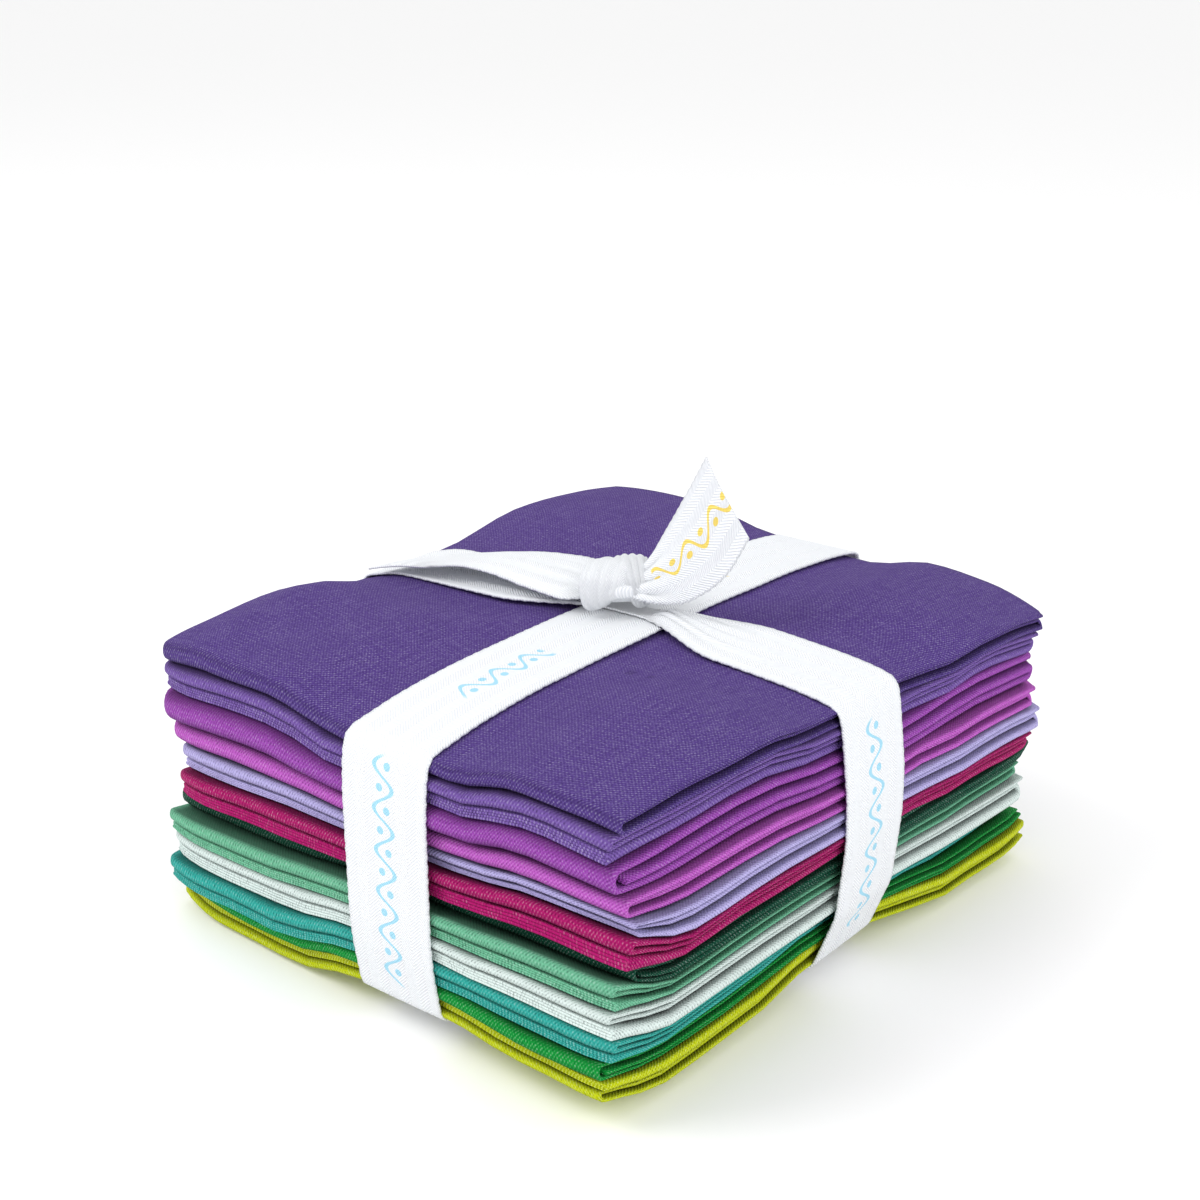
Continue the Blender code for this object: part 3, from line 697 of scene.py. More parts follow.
cloud = np.concatenate([to_ribbon(points_of(sheet)) for sheet in sheets.values()])
under_lengthwise = np.abs(cloud[:, 0] - LENGTHWISE_P) < RIBBON_WIDTH / 2 + TOUCHING
lengthwise_path = taut_path(cloud[under_lengthwise][:, 1:], RIBBON_GAP)
under_crosswise = np.abs(cloud[:, 1] - CROSSWISE_Q) < RIBBON_WIDTH / 2 + TOUCHING
crossing = lengthwise_path[np.abs(lengthwise_path[:, 0] - CROSSWISE_Q) < RIBBON_WIDTH / 2]
over = crossing[:, 1] + np.where(crossing[:, 1] > MEAN_HEIGHT / 2, 1, -1) * RIBBON_THICKNESS
humps = [np.stack([over * 0 + LENGTHWISE_P + side * RIBBON_WIDTH / 2, over], axis=1) for side in (-1, 1)]
crosswise_path = taut_path(np.concatenate([cloud[under_crosswise][:, ::2]] + humps), RIBBON_GAP)
print("bands", len(lengthwise_path), "and", len(crosswise_path), "mm round")

# %% [markdown]
# ## Ribbon: woven tape
#
# Twill tape has a little thickness, edges that the turning weft scallops, and a surface that is never
# quite flat. These repeat along the whole ribbon, so a Geometry Nodes tree makes them from a bare
# strip: it bends the edges in and out, ripples the strip, and gives it a thickness.

# %% Node helpers
def wire(tree, value, socket):
    """Set a plain value on a socket, or link another socket to it."""
    if isinstance(value, (int, float, str, tuple)):
        socket.default_value = value
    else:
        tree.links.new(value, socket)


def compute(tree, operation, first, second=0.0, third=0.0):
    """A Math node."""
    node = tree.nodes.new("ShaderNodeMath")
    node.operation = operation
    for value, socket in zip((first, second, third), node.inputs):
        wire(tree, value, socket)
    return node.outputs[0]


def node_with(tree, kind, sockets):
    """A node with some of its sockets set or linked."""
    node = tree.nodes.new(kind)
    for key, value in sockets.items():
        wire(tree, value, node.inputs[key])
    return node


# %% A tree for woven tape
ACROSS_STEPS = 24
TAPE_SIZES = (("Thickness", 0.0005), ("Scallop depth", 0.00012), ("Scallop pitch", 1.6),
              ("Ripple", 0.0003), ("Ripple scale", 90.0), ("Seed", 3.0))
EDGE_POWER = 8.0
WELD = 0.000001


def named_attribute(tree, name, kind="FLOAT"):
    """A value that the strip's points carry."""
    node = node_with(tree, "GeometryNodeInputNamedAttribute", {"Name": name})
    node.data_type = kind
    return node.outputs["Attribute"]


def scaled(tree, vector, factor):
    """A vector times a number."""
    node = tree.nodes.new("ShaderNodeVectorMath")
    node.operation = "SCALE"
    wire(tree, vector, node.inputs[0])
    wire(tree, factor, node.inputs["Scale"])
    return node.outputs[0]


def tape_tree():
    """Geometry Nodes: a strip of tape from a bare grid."""
    tree = bpy.data.node_groups.new("woven_tape", "GeometryNodeTree")
    face = tree.interface
    face.new_socket("Strip", in_out="INPUT", socket_type="NodeSocketGeometry")
    for name, value in TAPE_SIZES:
        face.new_socket(name, in_out="INPUT", socket_type="NodeSocketFloat").default_value = value
    face.new_socket("Material", in_out="INPUT", socket_type="NodeSocketMaterial")
    face.new_socket("Tape", in_out="OUTPUT", socket_type="NodeSocketGeometry")
    given = tree.nodes.new("NodeGroupInput").outputs
    calc = partial(compute, tree)
    across = named_attribute(tree, "across")
    turns = calc("DIVIDE", calc("MULTIPLY", named_attribute(tree, "along"), 2 * math.pi),
                 given["Scallop pitch"])
    steep = calc("POWER", calc("ABSOLUTE", across), EDGE_POWER)
    at_edge = calc("MULTIPLY", steep, given["Scallop depth"])
    scallop = calc("MULTIPLY", calc("MULTIPLY", calc("SINE", turns), at_edge), calc("SIGN", across))
    noise = tree.nodes.new("ShaderNodeTexNoise")
    noise.noise_dimensions = "4D"
    position = tree.nodes.new("GeometryNodeInputPosition").outputs[0]
    for key, value in (("Vector", position), ("W", given["Seed"]), ("Scale", given["Ripple scale"])):
        wire(tree, value, noise.inputs[key])
    ripple = calc("MULTIPLY", noise.outputs[0], given["Ripple"])
    normal = tree.nodes.new("GeometryNodeInputNormal").outputs[0]
    total = node_with(tree, "ShaderNodeVectorMath", {
        0: scaled(tree, named_attribute(tree, "outwards", "FLOAT_VECTOR"), scallop),
        1: scaled(tree, normal, ripple)})
    place = node_with(tree, "GeometryNodeSetPosition", {"Geometry": given["Strip"],
                                                        "Offset": total.outputs[0]})
    thicken = node_with(tree, "GeometryNodeExtrudeMesh", {
        "Mesh": place.outputs[0], "Individual": False, "Offset Scale": given["Thickness"]})
    mark = node_with(tree, "GeometryNodeStoreNamedAttribute", {
        "Name": "printed_side", "Geometry": thicken.outputs["Mesh"], "Value": thicken.outputs["Top"]})
    mark.domain = "FACE"
    back = node_with(tree, "GeometryNodeFlipFaces", {0: place.outputs[0]})
    join = tree.nodes.new("GeometryNodeJoinGeometry")
    for part in (back, mark):
        tree.links.new(part.outputs[0], join.inputs[0])
    merge = node_with(tree, "GeometryNodeMergeByDistance", {"Geometry": join.outputs[0],
                                                            "Distance": WELD})
    smooth = node_with(tree, "GeometryNodeSetShadeSmooth", {"Geometry": merge.outputs[0]})
    real = node_with(tree, "GeometryNodeRealizeInstances", {0: smooth.outputs[0]})
    paint = node_with(tree, "GeometryNodeSetMaterial", {"Geometry": real.outputs[0],
                                                        "Material": given["Material"]})
    tree.links.new(paint.outputs[0], tree.nodes.new("NodeGroupOutput").inputs[0])
    return tree


TAPE = tape_tree()
print(len(TAPE.nodes), "nodes in", TAPE.name)

# %% Strips and tapes
def strip_object(name, rows, closed, prints):
    """A bare grid between rows of places, with what the tree and the print need."""
    count, width = rows.shape[:2]
    first = np.arange(count if closed else count - 1)[:, None]
    k = np.arange(width - 1)
    after = (first + 1) % count
    faces = np.stack([first * width + k, first * width + k + 1, after * width + k + 1, after * width + k],
                     axis=-1).reshape(-1, 4)
    middle = rows[:, width // 2] / MM
    along = lengths_along(middle)
    across = np.linspace(-1, 1, width)
    u = np.repeat(along, width)
    v = np.tile(across * RIBBON_WIDTH / 2, count)
    piece = mesh_object(name, rows.reshape(-1, 3), faces, np.stack([u, v], axis=1))
    outwards = np.gradient(rows, axis=1)
    outwards /= np.linalg.norm(outwards, axis=2)[:, :, None]
    store(piece, "across", np.tile(across, count))
    store(piece, "along", u)
    vectors = piece.data.attributes.new("outwards", "FLOAT_VECTOR", "POINT")
    vectors.data.foreach_set("vector", outwards.ravel())
    for label, spans in zip(prints._fields, prints):
        shown = np.zeros_like(u)
        for start, finish in spans:
            shown = np.maximum(shown, (u > start) & (u < finish))
        store(piece, "print_" + label, shown)
    return piece


def socket_key(tree, name):
    """The identifier of a tree's input."""
    return next(item.identifier for item in tree.interface.items_tree
                if item.item_type == "SOCKET" and item.in_out == "INPUT" and item.name == name)


def taped(piece, **sizes):
    """Run the tape tree on a strip and keep the result as a plain mesh."""
    bend = piece.modifiers.new("tape", "NODES")
    bend.node_group = TAPE
    bend[socket_key(TAPE, "Material")] = tape_white
    for name, value in sizes.items():
        bend[socket_key(TAPE, name.replace("_", " "))] = value
    graph = bpy.context.evaluated_depsgraph_get()
    mesh = bpy.data.meshes.new_from_object(piece.evaluated_get(graph), preserve_all_data_layers=True,
                                           depsgraph=graph)
    piece.modifiers.clear()
    piece.data = mesh
    return piece


# %% [markdown]
# ## Cotton and twill
#
# Quilting cotton is a plain weave of about 24 threads in a centimetre. Its colour is dyed in, but
# some threads are thicker or paler, which gives the fine speckle, and the colour also holds painted
# light and shade: the crowns of the threads are painted lighter and the gaps between them darker. The
# weave is one node group, because all twelve cloths use it with their own colours. It reads the flat
# cloth's millimetres from the UV map. The tape's twill runs in slanted ribs that turn back in columns,
# with painted shade in the grooves between the ribs.

# %% Colour and noise nodes
def blend_colours(tree, share, first, second):
    """A colour mix."""
    node = tree.nodes.new("ShaderNodeMix")
    node.data_type = "RGBA"
    wire(tree, share, node.inputs[0])
    wire(tree, first, node.inputs[6])
    wire(tree, second, node.inputs[7])
    return node.outputs[2]


def noise_at(tree, vector, scale, detail=2.0, stretch=None):
    """Noise over a vector, which may be stretched first."""
    if stretch:
        vector = node_with(tree, "ShaderNodeMapping", {"Scale": stretch, "Vector": vector}).outputs[0]
    noise = node_with(tree, "ShaderNodeTexNoise", {"Scale": scale, "Detail": detail, "Vector": vector})
    return noise.outputs[0]


def parts_of(tree, vector):
    """The three numbers of a vector."""
    return node_with(tree, "ShaderNodeSeparateXYZ", {0: vector}).outputs


def group_tree(name, inputs, outputs):
    """A shader node group with named sockets."""
    tree = bpy.data.node_groups.new(name, "ShaderNodeTree")
    for label, kind, value in inputs:
        socket = tree.interface.new_socket(label, in_out="INPUT", socket_type="NodeSocket" + kind)
        if value is not None:
            socket.default_value = value
    for label, kind in outputs:
        tree.interface.new_socket(label, in_out="OUTPUT", socket_type="NodeSocket" + kind)
    return tree, tree.nodes.new("NodeGroupInput").outputs, tree.nodes.new("NodeGroupOutput").inputs


# %% The plain weave as a group
def plain_weave():
    """Node group: colour and height of a plain weave, with painted light on the crowns and painted shade
    in the gaps.
    """
    tree, given, result = group_tree(
        "plain_weave",
        (("Place", "Vector", None), ("Thread", "Float", 0.42), ("Slubs", "Float", 0.5),
         ("Colour", "Color", (0.5, 0.5, 0.5, 1)), ("Light thread and highlight", "Color", (0.7, 0.7, 0.7, 1)),
         ("Gap shade", "Color", (0.2, 0.2, 0.2, 1))),
        (("Colour", "Color"), ("Height", "Float")))
    place = given["Place"]
    u, v, _ = parts_of(tree, place)
    calc = partial(compute, tree)
    drift = calc("MULTIPLY", calc("SUBTRACT", noise_at(tree, place, 0.35), 0.5), 0.5)
    warp = calc("DIVIDE", calc("ADD", u, drift), given["Thread"])
    weft = calc("DIVIDE", calc("ADD", v, drift), given["Thread"])
    rising = calc("MULTIPLY", calc("ADD", warp, weft), math.pi)
    falling = calc("MULTIPLY", calc("SUBTRACT", warp, weft), math.pi)
    wave = calc("MULTIPLY_ADD", calc("SINE", falling), 0.3,
                calc("MULTIPLY", calc("SINE", rising), 0.7))
    slub_warp = noise_at(tree, place, 1.0, 1.0, (2.4, 0.10, 1.0))
    slub_weft = noise_at(tree, place, 1.0, 1.0, (0.10, 2.4, 1.0))
    slub = calc("SUBTRACT", calc("ADD", slub_warp, slub_weft), 1.0)
    weave = calc("MULTIPLY_ADD", wave, 0.5, 0.5)
    height = calc("MULTIPLY_ADD", calc("MULTIPLY", slub, given["Slubs"]), 0.7, weave)
    tree.links.new(height, result["Height"])
    speck = calc("SUBTRACT", noise_at(tree, place, 2.1, 3.0), 0.5)
    # Painted light and shade: the crowns of the weave are painted lighter and the gaps between threads
    # darker; slubs and specks add the cloth's own uneven tone.
    lit = calc("MULTIPLY_ADD", calc("MULTIPLY_ADD", slub, 0.35, speck), 1.6, weave)
    high = calc("SUBTRACT", lit, 0.68)
    low = calc("SUBTRACT", 0.42, lit)
    colour = blend_colours(tree, calc("MULTIPLY", high, 1.6), given["Colour"], given["Light thread and highlight"])
    colour = blend_colours(tree, calc("MULTIPLY", low, 1.5), colour, given["Gap shade"])
    tree.links.new(colour, result["Colour"])
    return tree


WEAVE = plain_weave()
print(WEAVE.name, "has", len(WEAVE.nodes), "nodes")


# %% Cotton materials
def surface(name):
    """A new material, with its tree and its shader."""
    material = bpy.data.materials.new(name)
    material.use_nodes = True
    return material, material.node_tree, material.node_tree.nodes["Principled BSDF"]


def uv_of(tree):
    """The piece's own UV map as a vector."""
    node = tree.nodes.new("ShaderNodeUVMap")
    node.uv_map = "UVMap"
    return node.outputs[0]


def placed(tree, group):
    """A group node fed with the piece's UV map."""
    node = tree.nodes.new("ShaderNodeGroup")
    node.node_tree = group
    tree.links.new(uv_of(tree), node.inputs["Place"])
    return node


def bump(tree, paint, height, strength, distance):
    """Turn a height into the shader's normal."""
    node = node_with(tree, "ShaderNodeBump",
                     {"Strength": strength, "Distance": distance, "Height": height})
    tree.links.new(node.outputs[0], paint.inputs["Normal"])


def attribute_value(tree, name):
    """A named attribute as a value."""
    node = tree.nodes.new("ShaderNodeAttribute")
    node.attribute_name = name
    return node.outputs["Fac"]


def mixed(colour, other, share):
    """A colour part of the way to another one."""
    return tuple(one + (two - one) * share for one, two in zip(colour, other)) + (1.0,)


def cotton(name, colour):
    """A matt plain-weave cotton in one dye, with painted shade in its folds and painted light and shade
    on its threads.
    """
    material, tree, paint = surface(name)
    weave = placed(tree, WEAVE)
    weave.inputs["Colour"].default_value = (*colour, 1.0)
    # The lighter thread colour is partly paler slubs and partly painted highlight on the crowns; the gap
    # colour is painted shade between the threads.
    weave.inputs["Light thread and highlight"].default_value = mixed(colour, (0.9, 0.9, 0.95), 0.22)
    weave.inputs["Gap shade"].default_value = mixed(colour, (0.0, 0.0, 0.01), 0.62)
    # Painted shade: the dye is darkened towards black down in the folds and between the layers, by the
    # value stored on each point.
    shade = mixed(colour, (0.0, 0.0, 0.0), 0.78)
    lit = blend_colours(tree, attribute_value(tree, "painted_fold_light"), shade, weave.outputs["Colour"])
    tree.links.new(lit, paint.inputs["Base Color"])
    paint.inputs["Roughness"].default_value = 0.9
    paint.inputs["Specular IOR Level"].default_value = 0.12
    bump(tree, paint, weave.outputs["Height"], 0.8, 0.00018)
    return material


DYES = {
    "cloth_01_dark_purple": ("dark_purple_cotton", (0.078, 0.041, 0.205)),
    "cloth_02_mid_purple": ("mid_purple_cotton", (0.160, 0.085, 0.335)),
    "cloth_03_orchid_violet": ("orchid_violet_cotton", (0.300, 0.060, 0.390)),
    "cloth_04_orchid_pink": ("orchid_pink_cotton", (0.470, 0.098, 0.500)),
    "cloth_05_lavender": ("lavender_cotton", (0.420, 0.375, 0.680)),
    "cloth_06_raspberry": ("raspberry_cotton", (0.370, 0.006, 0.120)),
    "cloth_07_dark_green": ("dark_green_cotton", (0.003, 0.062, 0.032)),
    "cloth_08_sea_foam": ("sea_foam_cotton", (0.140, 0.440, 0.270)),
    "cloth_09_mint_white": ("mint_white_cotton", (0.640, 0.740, 0.710)),
    "cloth_10_teal": ("teal_cotton", (0.030, 0.370, 0.320)),
    "cloth_11_green": ("green_cotton", (0.003, 0.270, 0.036)),
    "cloth_12_lime": ("lime_cotton", (0.500, 0.570, 0.003)),
}
for name, (slot, colour) in DYES.items():
    sheets[name].data.materials.append(cotton(slot, colour))
print(len(DYES), "cottons")


# %% Twill tape material
def herringbone():
    """Node group: height and shade of herringbone twill, from the tape's own millimetres."""
    tree, given, result = group_tree(
        "herringbone_twill",
        (("Place", "Vector", None), ("Rib", "Float", 0.72), ("Column", "Float", 2.75)),
        (("Height", "Float"), ("Shade", "Float")))
    u, v, _ = parts_of(tree, given["Place"])
    calc = partial(compute, tree)
    slant = calc("PINGPONG", calc("ADD", v, 50.0), given["Column"])
    turns = calc("DIVIDE", calc("ADD", u, slant), given["Rib"])
    wave = calc("SINE", calc("MULTIPLY", turns, 2 * math.pi))
    ribs = calc("MULTIPLY_ADD", wave, 0.5, 0.5)
    uneven = noise_at(tree, given["Place"], 1.4, 2.0)
    height = calc("MULTIPLY_ADD", uneven, 0.5, ribs)
    tree.links.new(height, result["Height"])
    tree.links.new(calc("MULTIPLY_ADD", height, 0.6, 0.1), result["Shade"])
    return tree


def ornament():
    """Node group: mask of a plain running scroll with dots, along the middle of the tape."""
    tree, given, result = group_tree(
        "running_scroll",
        (("Place", "Vector", None), ("Pitch", "Float", 9.0), ("Swing", "Float", 2.4),
         ("Line", "Float", 0.55), ("Dot", "Float", 0.85)),
        (("Mask", "Float"),))
    u, v, _ = parts_of(tree, given["Place"])
    calc = partial(compute, tree)
    turns = calc("MULTIPLY", calc("DIVIDE", u, given["Pitch"]), 2 * math.pi)
    wave = calc("MULTIPLY", calc("SINE", turns), given["Swing"])
    away = calc("ABSOLUTE", calc("SUBTRACT", v, wave))
    line = calc("LESS_THAN", away, given["Line"])
    half = calc("DIVIDE", given["Pitch"], 2.0)
    nearest = calc("SUBTRACT", calc("WRAP", u, half, 0.0), calc("DIVIDE", half, 2.0))
    crest = calc("MULTIPLY", calc("SIGN", wave), -0.4)
    lifted = calc("SUBTRACT", v, calc("MULTIPLY", crest, given["Swing"]))
    far = calc("ADD", calc("MULTIPLY", nearest, nearest), calc("MULTIPLY", lifted, lifted))
    dot = calc("LESS_THAN", calc("SQRT", far), given["Dot"])
    tree.links.new(calc("MAXIMUM", line, dot), result["Mask"])
    return tree


TWILL, SCROLL = herringbone(), ornament()


def twill_tape():
    """White twill tape with painted shade in its rib grooves and a pale printed scroll where the print
    attributes say so.
    """
    material, tree, paint = surface("white_twill_tape")
    twill, scroll = placed(tree, TWILL), placed(tree, SCROLL)
    calc = partial(compute, tree)
    # Painted shade: the twill's shade value darkens the white towards blue-grey in the rib grooves and on
    # low, uneven spots.
    white = blend_colours(tree, twill.outputs["Shade"], (0.63, 0.66, 0.70, 1), (0.91, 0.92, 0.94, 1))
    printed = calc("MULTIPLY", scroll.outputs["Mask"], attribute_value(tree, "printed_side"))
    for label, ink in (("print_blue", (0.27, 0.62, 0.80, 1)), ("print_yellow", (0.86, 0.62, 0.02, 1))):
        share = calc("MULTIPLY", printed, attribute_value(tree, label))
        white = blend_colours(tree, calc("MULTIPLY", share, 0.85), white, ink)
    tree.links.new(white, paint.inputs["Base Color"])
    paint.inputs["Roughness"].default_value = 0.8
    paint.inputs["Specular IOR Level"].default_value = 0.3
    bump(tree, paint, twill.outputs["Height"], 0.8, 0.00018)
    return material


tape_white = twill_tape()
print(tape_white.name)

# %% [markdown]
# ## The two bands
#
# Each band is a strip along its taut path. A plain running wave with dots is printed on parts of it,
# in light blue and yellow. Near the knot the crosswise band is drawn together, and stands in pleats.

# %% Bands
Spans = namedtuple("Spans", "blue yellow")
GATHER = 0.76
GATHER_START = 3.0
GATHER_FADE = 27.0
PLEAT_HEIGHT = 0.24
ARCH_HEIGHT = 2.0


def gathered(p, z):
    """Share of the full width: the knot draws the crosswise band together."""
    near = 1 - eased((np.abs(p - LENGTHWISE_P) - GATHER_START) / GATHER_FADE)
    return np.where(z < MEAN_HEIGHT / 2, 1.0, 1 - GATHER * near)


def pleats(p, z, share):
    """Fine pleats that fan out from the knot along the crosswise band."""
    away = np.abs(p - LENGTHWISE_P)
    fade = eased((away - 5) / 6) * (1 - eased((away - 16) / 34)) * (z > MEAN_HEIGHT / 2)
    ridges = np.sin(share * 17 + 0.05 * p) + 0.6 * np.sin(share * 29 + 1.3 - 0.08 * p)
    arch = ARCH_HEIGHT * (1 - eased((p - LENGTHWISE_P - 4) / 22)) * (p > LENGTHWISE_P) * (1 - share ** 2)
    return fade * (PLEAT_HEIGHT * (ridges + 1.2) * (1 - share ** 8) + arch)


def band_rows(path, crosswise):
    """Rows of places across a band, all round the stack."""
    offsets = np.linspace(-1, 1, ACROSS_STEPS + 1)[None, :] * RIBBON_WIDTH / 2
    along, z = path[:, :1], np.repeat(path[:, 1:], ACROSS_STEPS + 1, axis=1)
    if crosswise:
        share = offsets / (RIBBON_WIDTH / 2)
        offsets = offsets * gathered(along, z[:, :1])
        p, q = along + 0 * offsets, CROSSWISE_Q + offsets
        z = z + pleats(p, z, share)
    else:
        p, q = LENGTHWISE_P + offsets + 0 * along, along + 0 * offsets
    return to_world(p, q, z)


def facing_out(rows):
    """Turn rows round so that the strip's faces look away from the stack."""
    along, across = np.gradient(rows, axis=0), np.gradient(rows, axis=1)
    normal = np.cross(across, along)
    middle = np.array([0.0, 0.0, MEAN_HEIGHT * MM / 2])
    return rows if np.sum(normal * (rows - middle)) > 0 else rows[:, ::-1]


tapes = {}
for name, path, crosswise, spans in (
        ("lengthwise_band", lengthwise_path, False, Spans(((240, 266), (288, 338)), ((178, 192),))),
        ("crosswise_band", crosswise_path, True, Spans(((68, 116),), ()))):
    rows = facing_out(band_rows(path, crosswise))
    strip = strip_object("tape_" + name, rows, True, spans)
    tapes[name] = taped(strip)
    print(strip.name, len(strip.data.polygons), "faces")

# %% [markdown]
# ## The free ends
#
# One end stands up behind the knot, the other lies along the crosswise band. Each is a ladder of
# rungs, a few given places of both edges, with a smooth curve through them. A light curl across
# the tape keeps it from looking like card.

# %% Free ends
Rung = namedtuple("Rung", "ax ay az bx by bz")
STANDING_RUNGS = (
    Rung(5.2, -0.8, 76.8, 8.0, -4.4, 73.8),
    Rung(7.4, 1.4, 80.2, 13.6, -3.8, 73.8),
    Rung(9.6, 3.4, 85.2, 18.8, -1.8, 74.4),
    Rung(12.0, 5.2, 90.8, 23.2, 1.0, 77.0),
    Rung(14.5, 7.0, 97.2, 26.8, 4.4, 81.6),
    Rung(17.1, 8.8, 103.7, 28.9, 8.2, 88.6),
)
LYING_RUNGS = (
    Rung(-5.4, 3.6, 75.9, -1.6, -8.6, 73.6),
    Rung(-12.0, 6.8, 75.3, -7.6, -12.2, 73.2),
    Rung(-20.0, 8.8, 74.2, -16.6, -11.8, 73.3),
    Rung(-29.8, 9.4, 72.8, -27.0, -11.9, 74.1),
    Rung(-38.0, 6.8, 71.8, -33.8, -12.8, 74.2),
    Rung(-45.5, 1.5, 71.2, -38.0, -14.0, 73.8),
    Rung(-51.5, -4.5, 70.7, -40.8, -14.9, 73.3),
    Rung(-57.0, -11.5, 70.2, -42.6, -15.6, 73.0),
    Rung(-60.8, -18.6, 69.3, -43.4, -16.0, 72.4),
)
END_STEPS = 70
END_RIPPLE = 0.0005
PLEATED_SHARE = 0.6


def smooth_table(table, steps):
    """A table of given places, read at even steps along a smooth curve through its rows."""
    knots = np.arange(len(table), dtype=float)
    wanted = np.linspace(0, len(table) - 1, steps + 1)
    columns = [np.repeat(column[:, None], steps + 1, axis=1) for column in np.array(table, dtype=float).T]
    return np.stack([smooth_through(knots, column, wanted) for column in columns], axis=1)


def stack_to_world(rows):
    """Turn places in the stack's millimetres into metres in the part's frame."""
    return (rows + np.array([*TO_PART, 0.0])) * MM


def rung_rows(rungs, curl, pleat):
    """Rows of places across a free end: smooth along it, curled across it, pleated near the knot."""
    smooth = smooth_table(rungs, END_STEPS)
    first, second = smooth[:, None, :3], smooth[:, None, 3:]
    share = np.linspace(0, 1, ACROSS_STEPS + 1)[None, :, None]
    rows = first + (second - first) * share
    normal = np.cross(np.gradient(rows, axis=0), np.gradient(rows, axis=1))
    normal /= np.linalg.norm(normal, axis=2)[:, :, None]
    near = 1 - eased(np.linspace(0, 1, END_STEPS + 1) / PLEATED_SHARE)[:, None, None]
    folds = pleat * near * np.sin((2 * share - 1) * 11 + 0.8)
    return stack_to_world(rows + normal * (curl * (1 - (2 * share - 1) ** 2) + folds))


for name, rungs, curl, pleat, spans in (
        ("standing_end", STANDING_RUNGS, -1.4, 0.55, Spans((), ((6, 40),))),
        ("lying_end", LYING_RUNGS, 0.7, 0.35, Spans(((8, 30),), ()))):
    strip = strip_object("tape_" + name, rung_rows(rungs, curl, pleat), False, spans)
    tapes[name] = taped(strip, Ripple=END_RIPPLE)
    print(strip.name, len(strip.data.polygons), "faces")

# %% [markdown]
# ## The knot
#
# An overhand knot in tape is a short roll of crumpled tape with a tight turn over it, which tucks in
# beside itself. All three are flattened tubes along a few given places, with pleats pressed into
# their faces. The knot leans to the corner of the stack, so its places are told along the diagonal.

# %% Places of the knot
KNOT_MIDDLE = np.array([1.8, -2.0, 0.0])
DIAGONAL = np.array([math.cos(AZIMUTH), math.sin(AZIMUTH), 0.0])
NEARER = np.array([math.sin(AZIMUTH), -math.cos(AZIMUTH), 0.0])
Place = namedtuple("Place", "right near high wide thick")
KNOT_ROLL = (
    Place(-7.4, 1.5, 73.8, 3.0, 1.0),
    Place(-4.8, 1.8, 74.7, 5.2, 2.8),
    Place(0.0, 1.2, 75.5, 6.4, 3.4),
    Place(5.0, 0.2, 75.4, 5.8, 3.0),
    Place(9.5, -1.5, 75.0, 4.4, 1.6),
)
KNOT_TURN = (
    Place(-3.2, 5.8, 71.9, 3.0, 0.9),
    Place(-4.2, 6.4, 73.8, 4.0, 1.5),
    Place(-3.6, 5.6, 77.4, 4.8, 1.9),
    Place(-2.2, 1.6, 79.4, 4.8, 1.8),
    Place(-0.6, -2.6, 78.8, 4.4, 1.5),
    Place(0.6, -5.0, 75.2, 3.4, 1.0),
)
KNOT_TUCK = (
    Place(5.2, 6.0, 71.8, 1.5, 0.8),
    Place(4.8, 6.2, 73.4, 2.0, 1.1),
    Place(3.8, 5.4, 77.2, 2.6, 1.6),
    Place(3.0, 1.6, 79.4, 3.2, 1.7),
    Place(2.6, -2.8, 79.6, 3.7, 1.4),
    Place(2.6, -5.6, 76.8, 4.0, 1.0),
)
Tube = namedtuple("Tube", "places side pleats twist depth")
KNOT_TUBES = (
    Tube(KNOT_ROLL, NEARER, 2.2, 0.5, 0.32),
    Tube(KNOT_TURN, DIAGONAL, 1.8, 0.9, 0.30),
    Tube(KNOT_TUCK, DIAGONAL, 2.1, 1.6, 0.38),
)
KNOT_STEPS = 44
KNOT_ROUND = 80


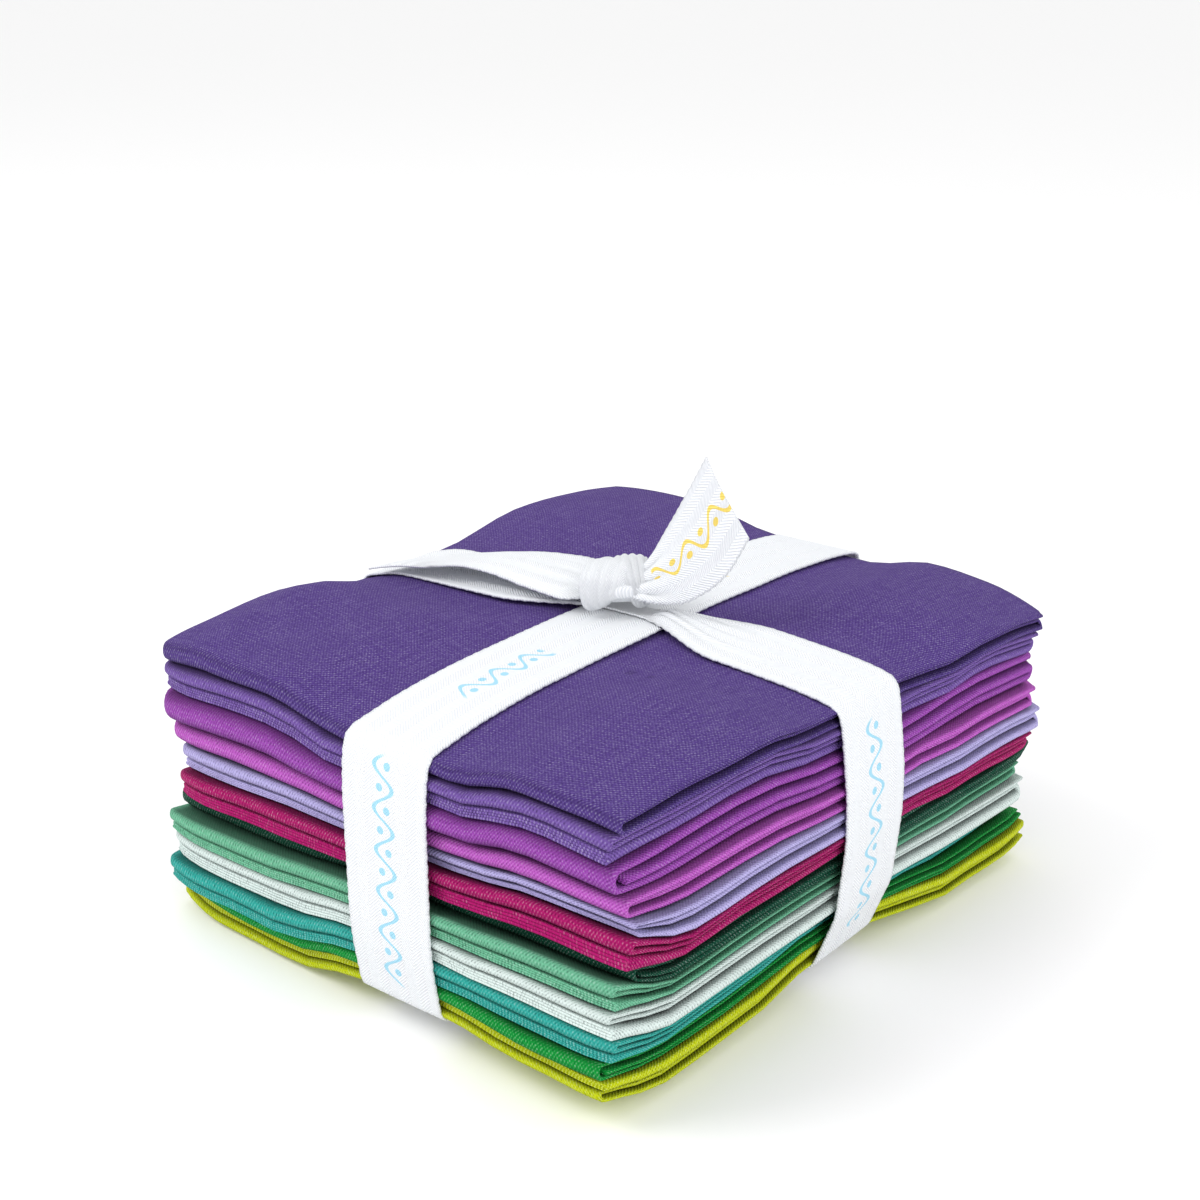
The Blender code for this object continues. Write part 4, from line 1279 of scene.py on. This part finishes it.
# %% Pleated tubes
def pleated_tube(places, side, pleats, twist, depth):
    """Places, faces and UV places of a flattened, pleated, closed tube."""
    line = smooth_table(places, KNOT_STEPS)
    centre = KNOT_MIDDLE + line[:, :1] * DIAGONAL + line[:, 1:2] * NEARER
    centre[:, 2] = line[:, 2]
    along = np.gradient(centre, axis=0)
    along /= np.linalg.norm(along, axis=1)[:, None]
    across = side - along * (along @ side)[:, None]
    across /= np.linalg.norm(across, axis=1)[:, None]
    normal = np.cross(along, across)
    around = np.linspace(0, 2 * math.pi, KNOT_ROUND, endpoint=False)[None, :]
    share = np.linspace(0, 1, KNOT_STEPS + 1)[:, None]
    phase = pleats * np.cos(around) * math.pi + twist * share + 0.5 * np.sin(5 * share)
    fold = np.abs(np.sin(phase)) ** 0.7
    size = 1 - depth * (1 - fold)
    rim = np.sqrt(np.clip(1 - (2 * share - 1) ** 10, 0.02, 1))
    wide = line[:, 3:4] * np.cos(around) * rim
    thick = line[:, 4:5] * np.sign(np.sin(around)) * np.abs(np.sin(around)) ** 0.8 * size * rim
    rows = centre[:, None] + across[:, None] * wide[..., None] + normal[:, None] * thick[..., None]
    faces = ring_faces(KNOT_STEPS + 1, KNOT_ROUND)
    rows = stack_to_world(rows.reshape(-1, 3))
    length = lengths_along(centre)
    uv = np.stack([np.repeat(length, KNOT_ROUND),
                   np.tile(np.cos(around[0]) * RIBBON_WIDTH / 2, KNOT_STEPS + 1)], axis=1)
    return rows, outward(rows, faces), uv


# %% Knot
def knot():
    """The roll, the turn over it and the tuck beside that as one piece."""
    tubes = [pleated_tube(*tube) for tube in KNOT_TUBES]
    starts = np.cumsum([0] + [len(places) for places, _, _ in tubes])
    places = np.concatenate([places for places, _, _ in tubes])
    faces = np.concatenate([faces + start for (_, faces, _), start in zip(tubes, starts)])
    piece = mesh_object("tape_knot", places, faces, np.concatenate([uv for _, _, uv in tubes]))
    piece.data.materials.append(tape_white)
    return piece


knot_piece = knot()
print(knot_piece.name, len(knot_piece.data.polygons), "faces")

# %% [markdown]
# ## Every piece goes with the stack
#
# Cloth has no joints, so every piece rides on the one body. Each sheet stands for its own solid,
# which is hidden.


def declare(piece, node):
    """Ride on the root body and hide the imported solid that the piece replaces."""
    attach(piece, "root")
    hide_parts(node)


order = [sheets[cloth.name].name for cloth in CLOTHS] + ["studio_floor"]
for cloth, below in zip(CLOTHS, order[1:]):
    declare(sheets[cloth.name], cloth.name)
FLAT_TAPES = {"lengthwise_band": (len(lengthwise_path), "stretched"),
              "crosswise_band": (len(crosswise_path), "stretched"),
              "standing_end": (32, "gathered"), "lying_end": (60, "laid")}
for name, (length, held) in FLAT_TAPES.items():
    declare(tapes[name], name)
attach(knot_piece, "root")
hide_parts("knot")
print(len(order) + len(tapes), "pieces")
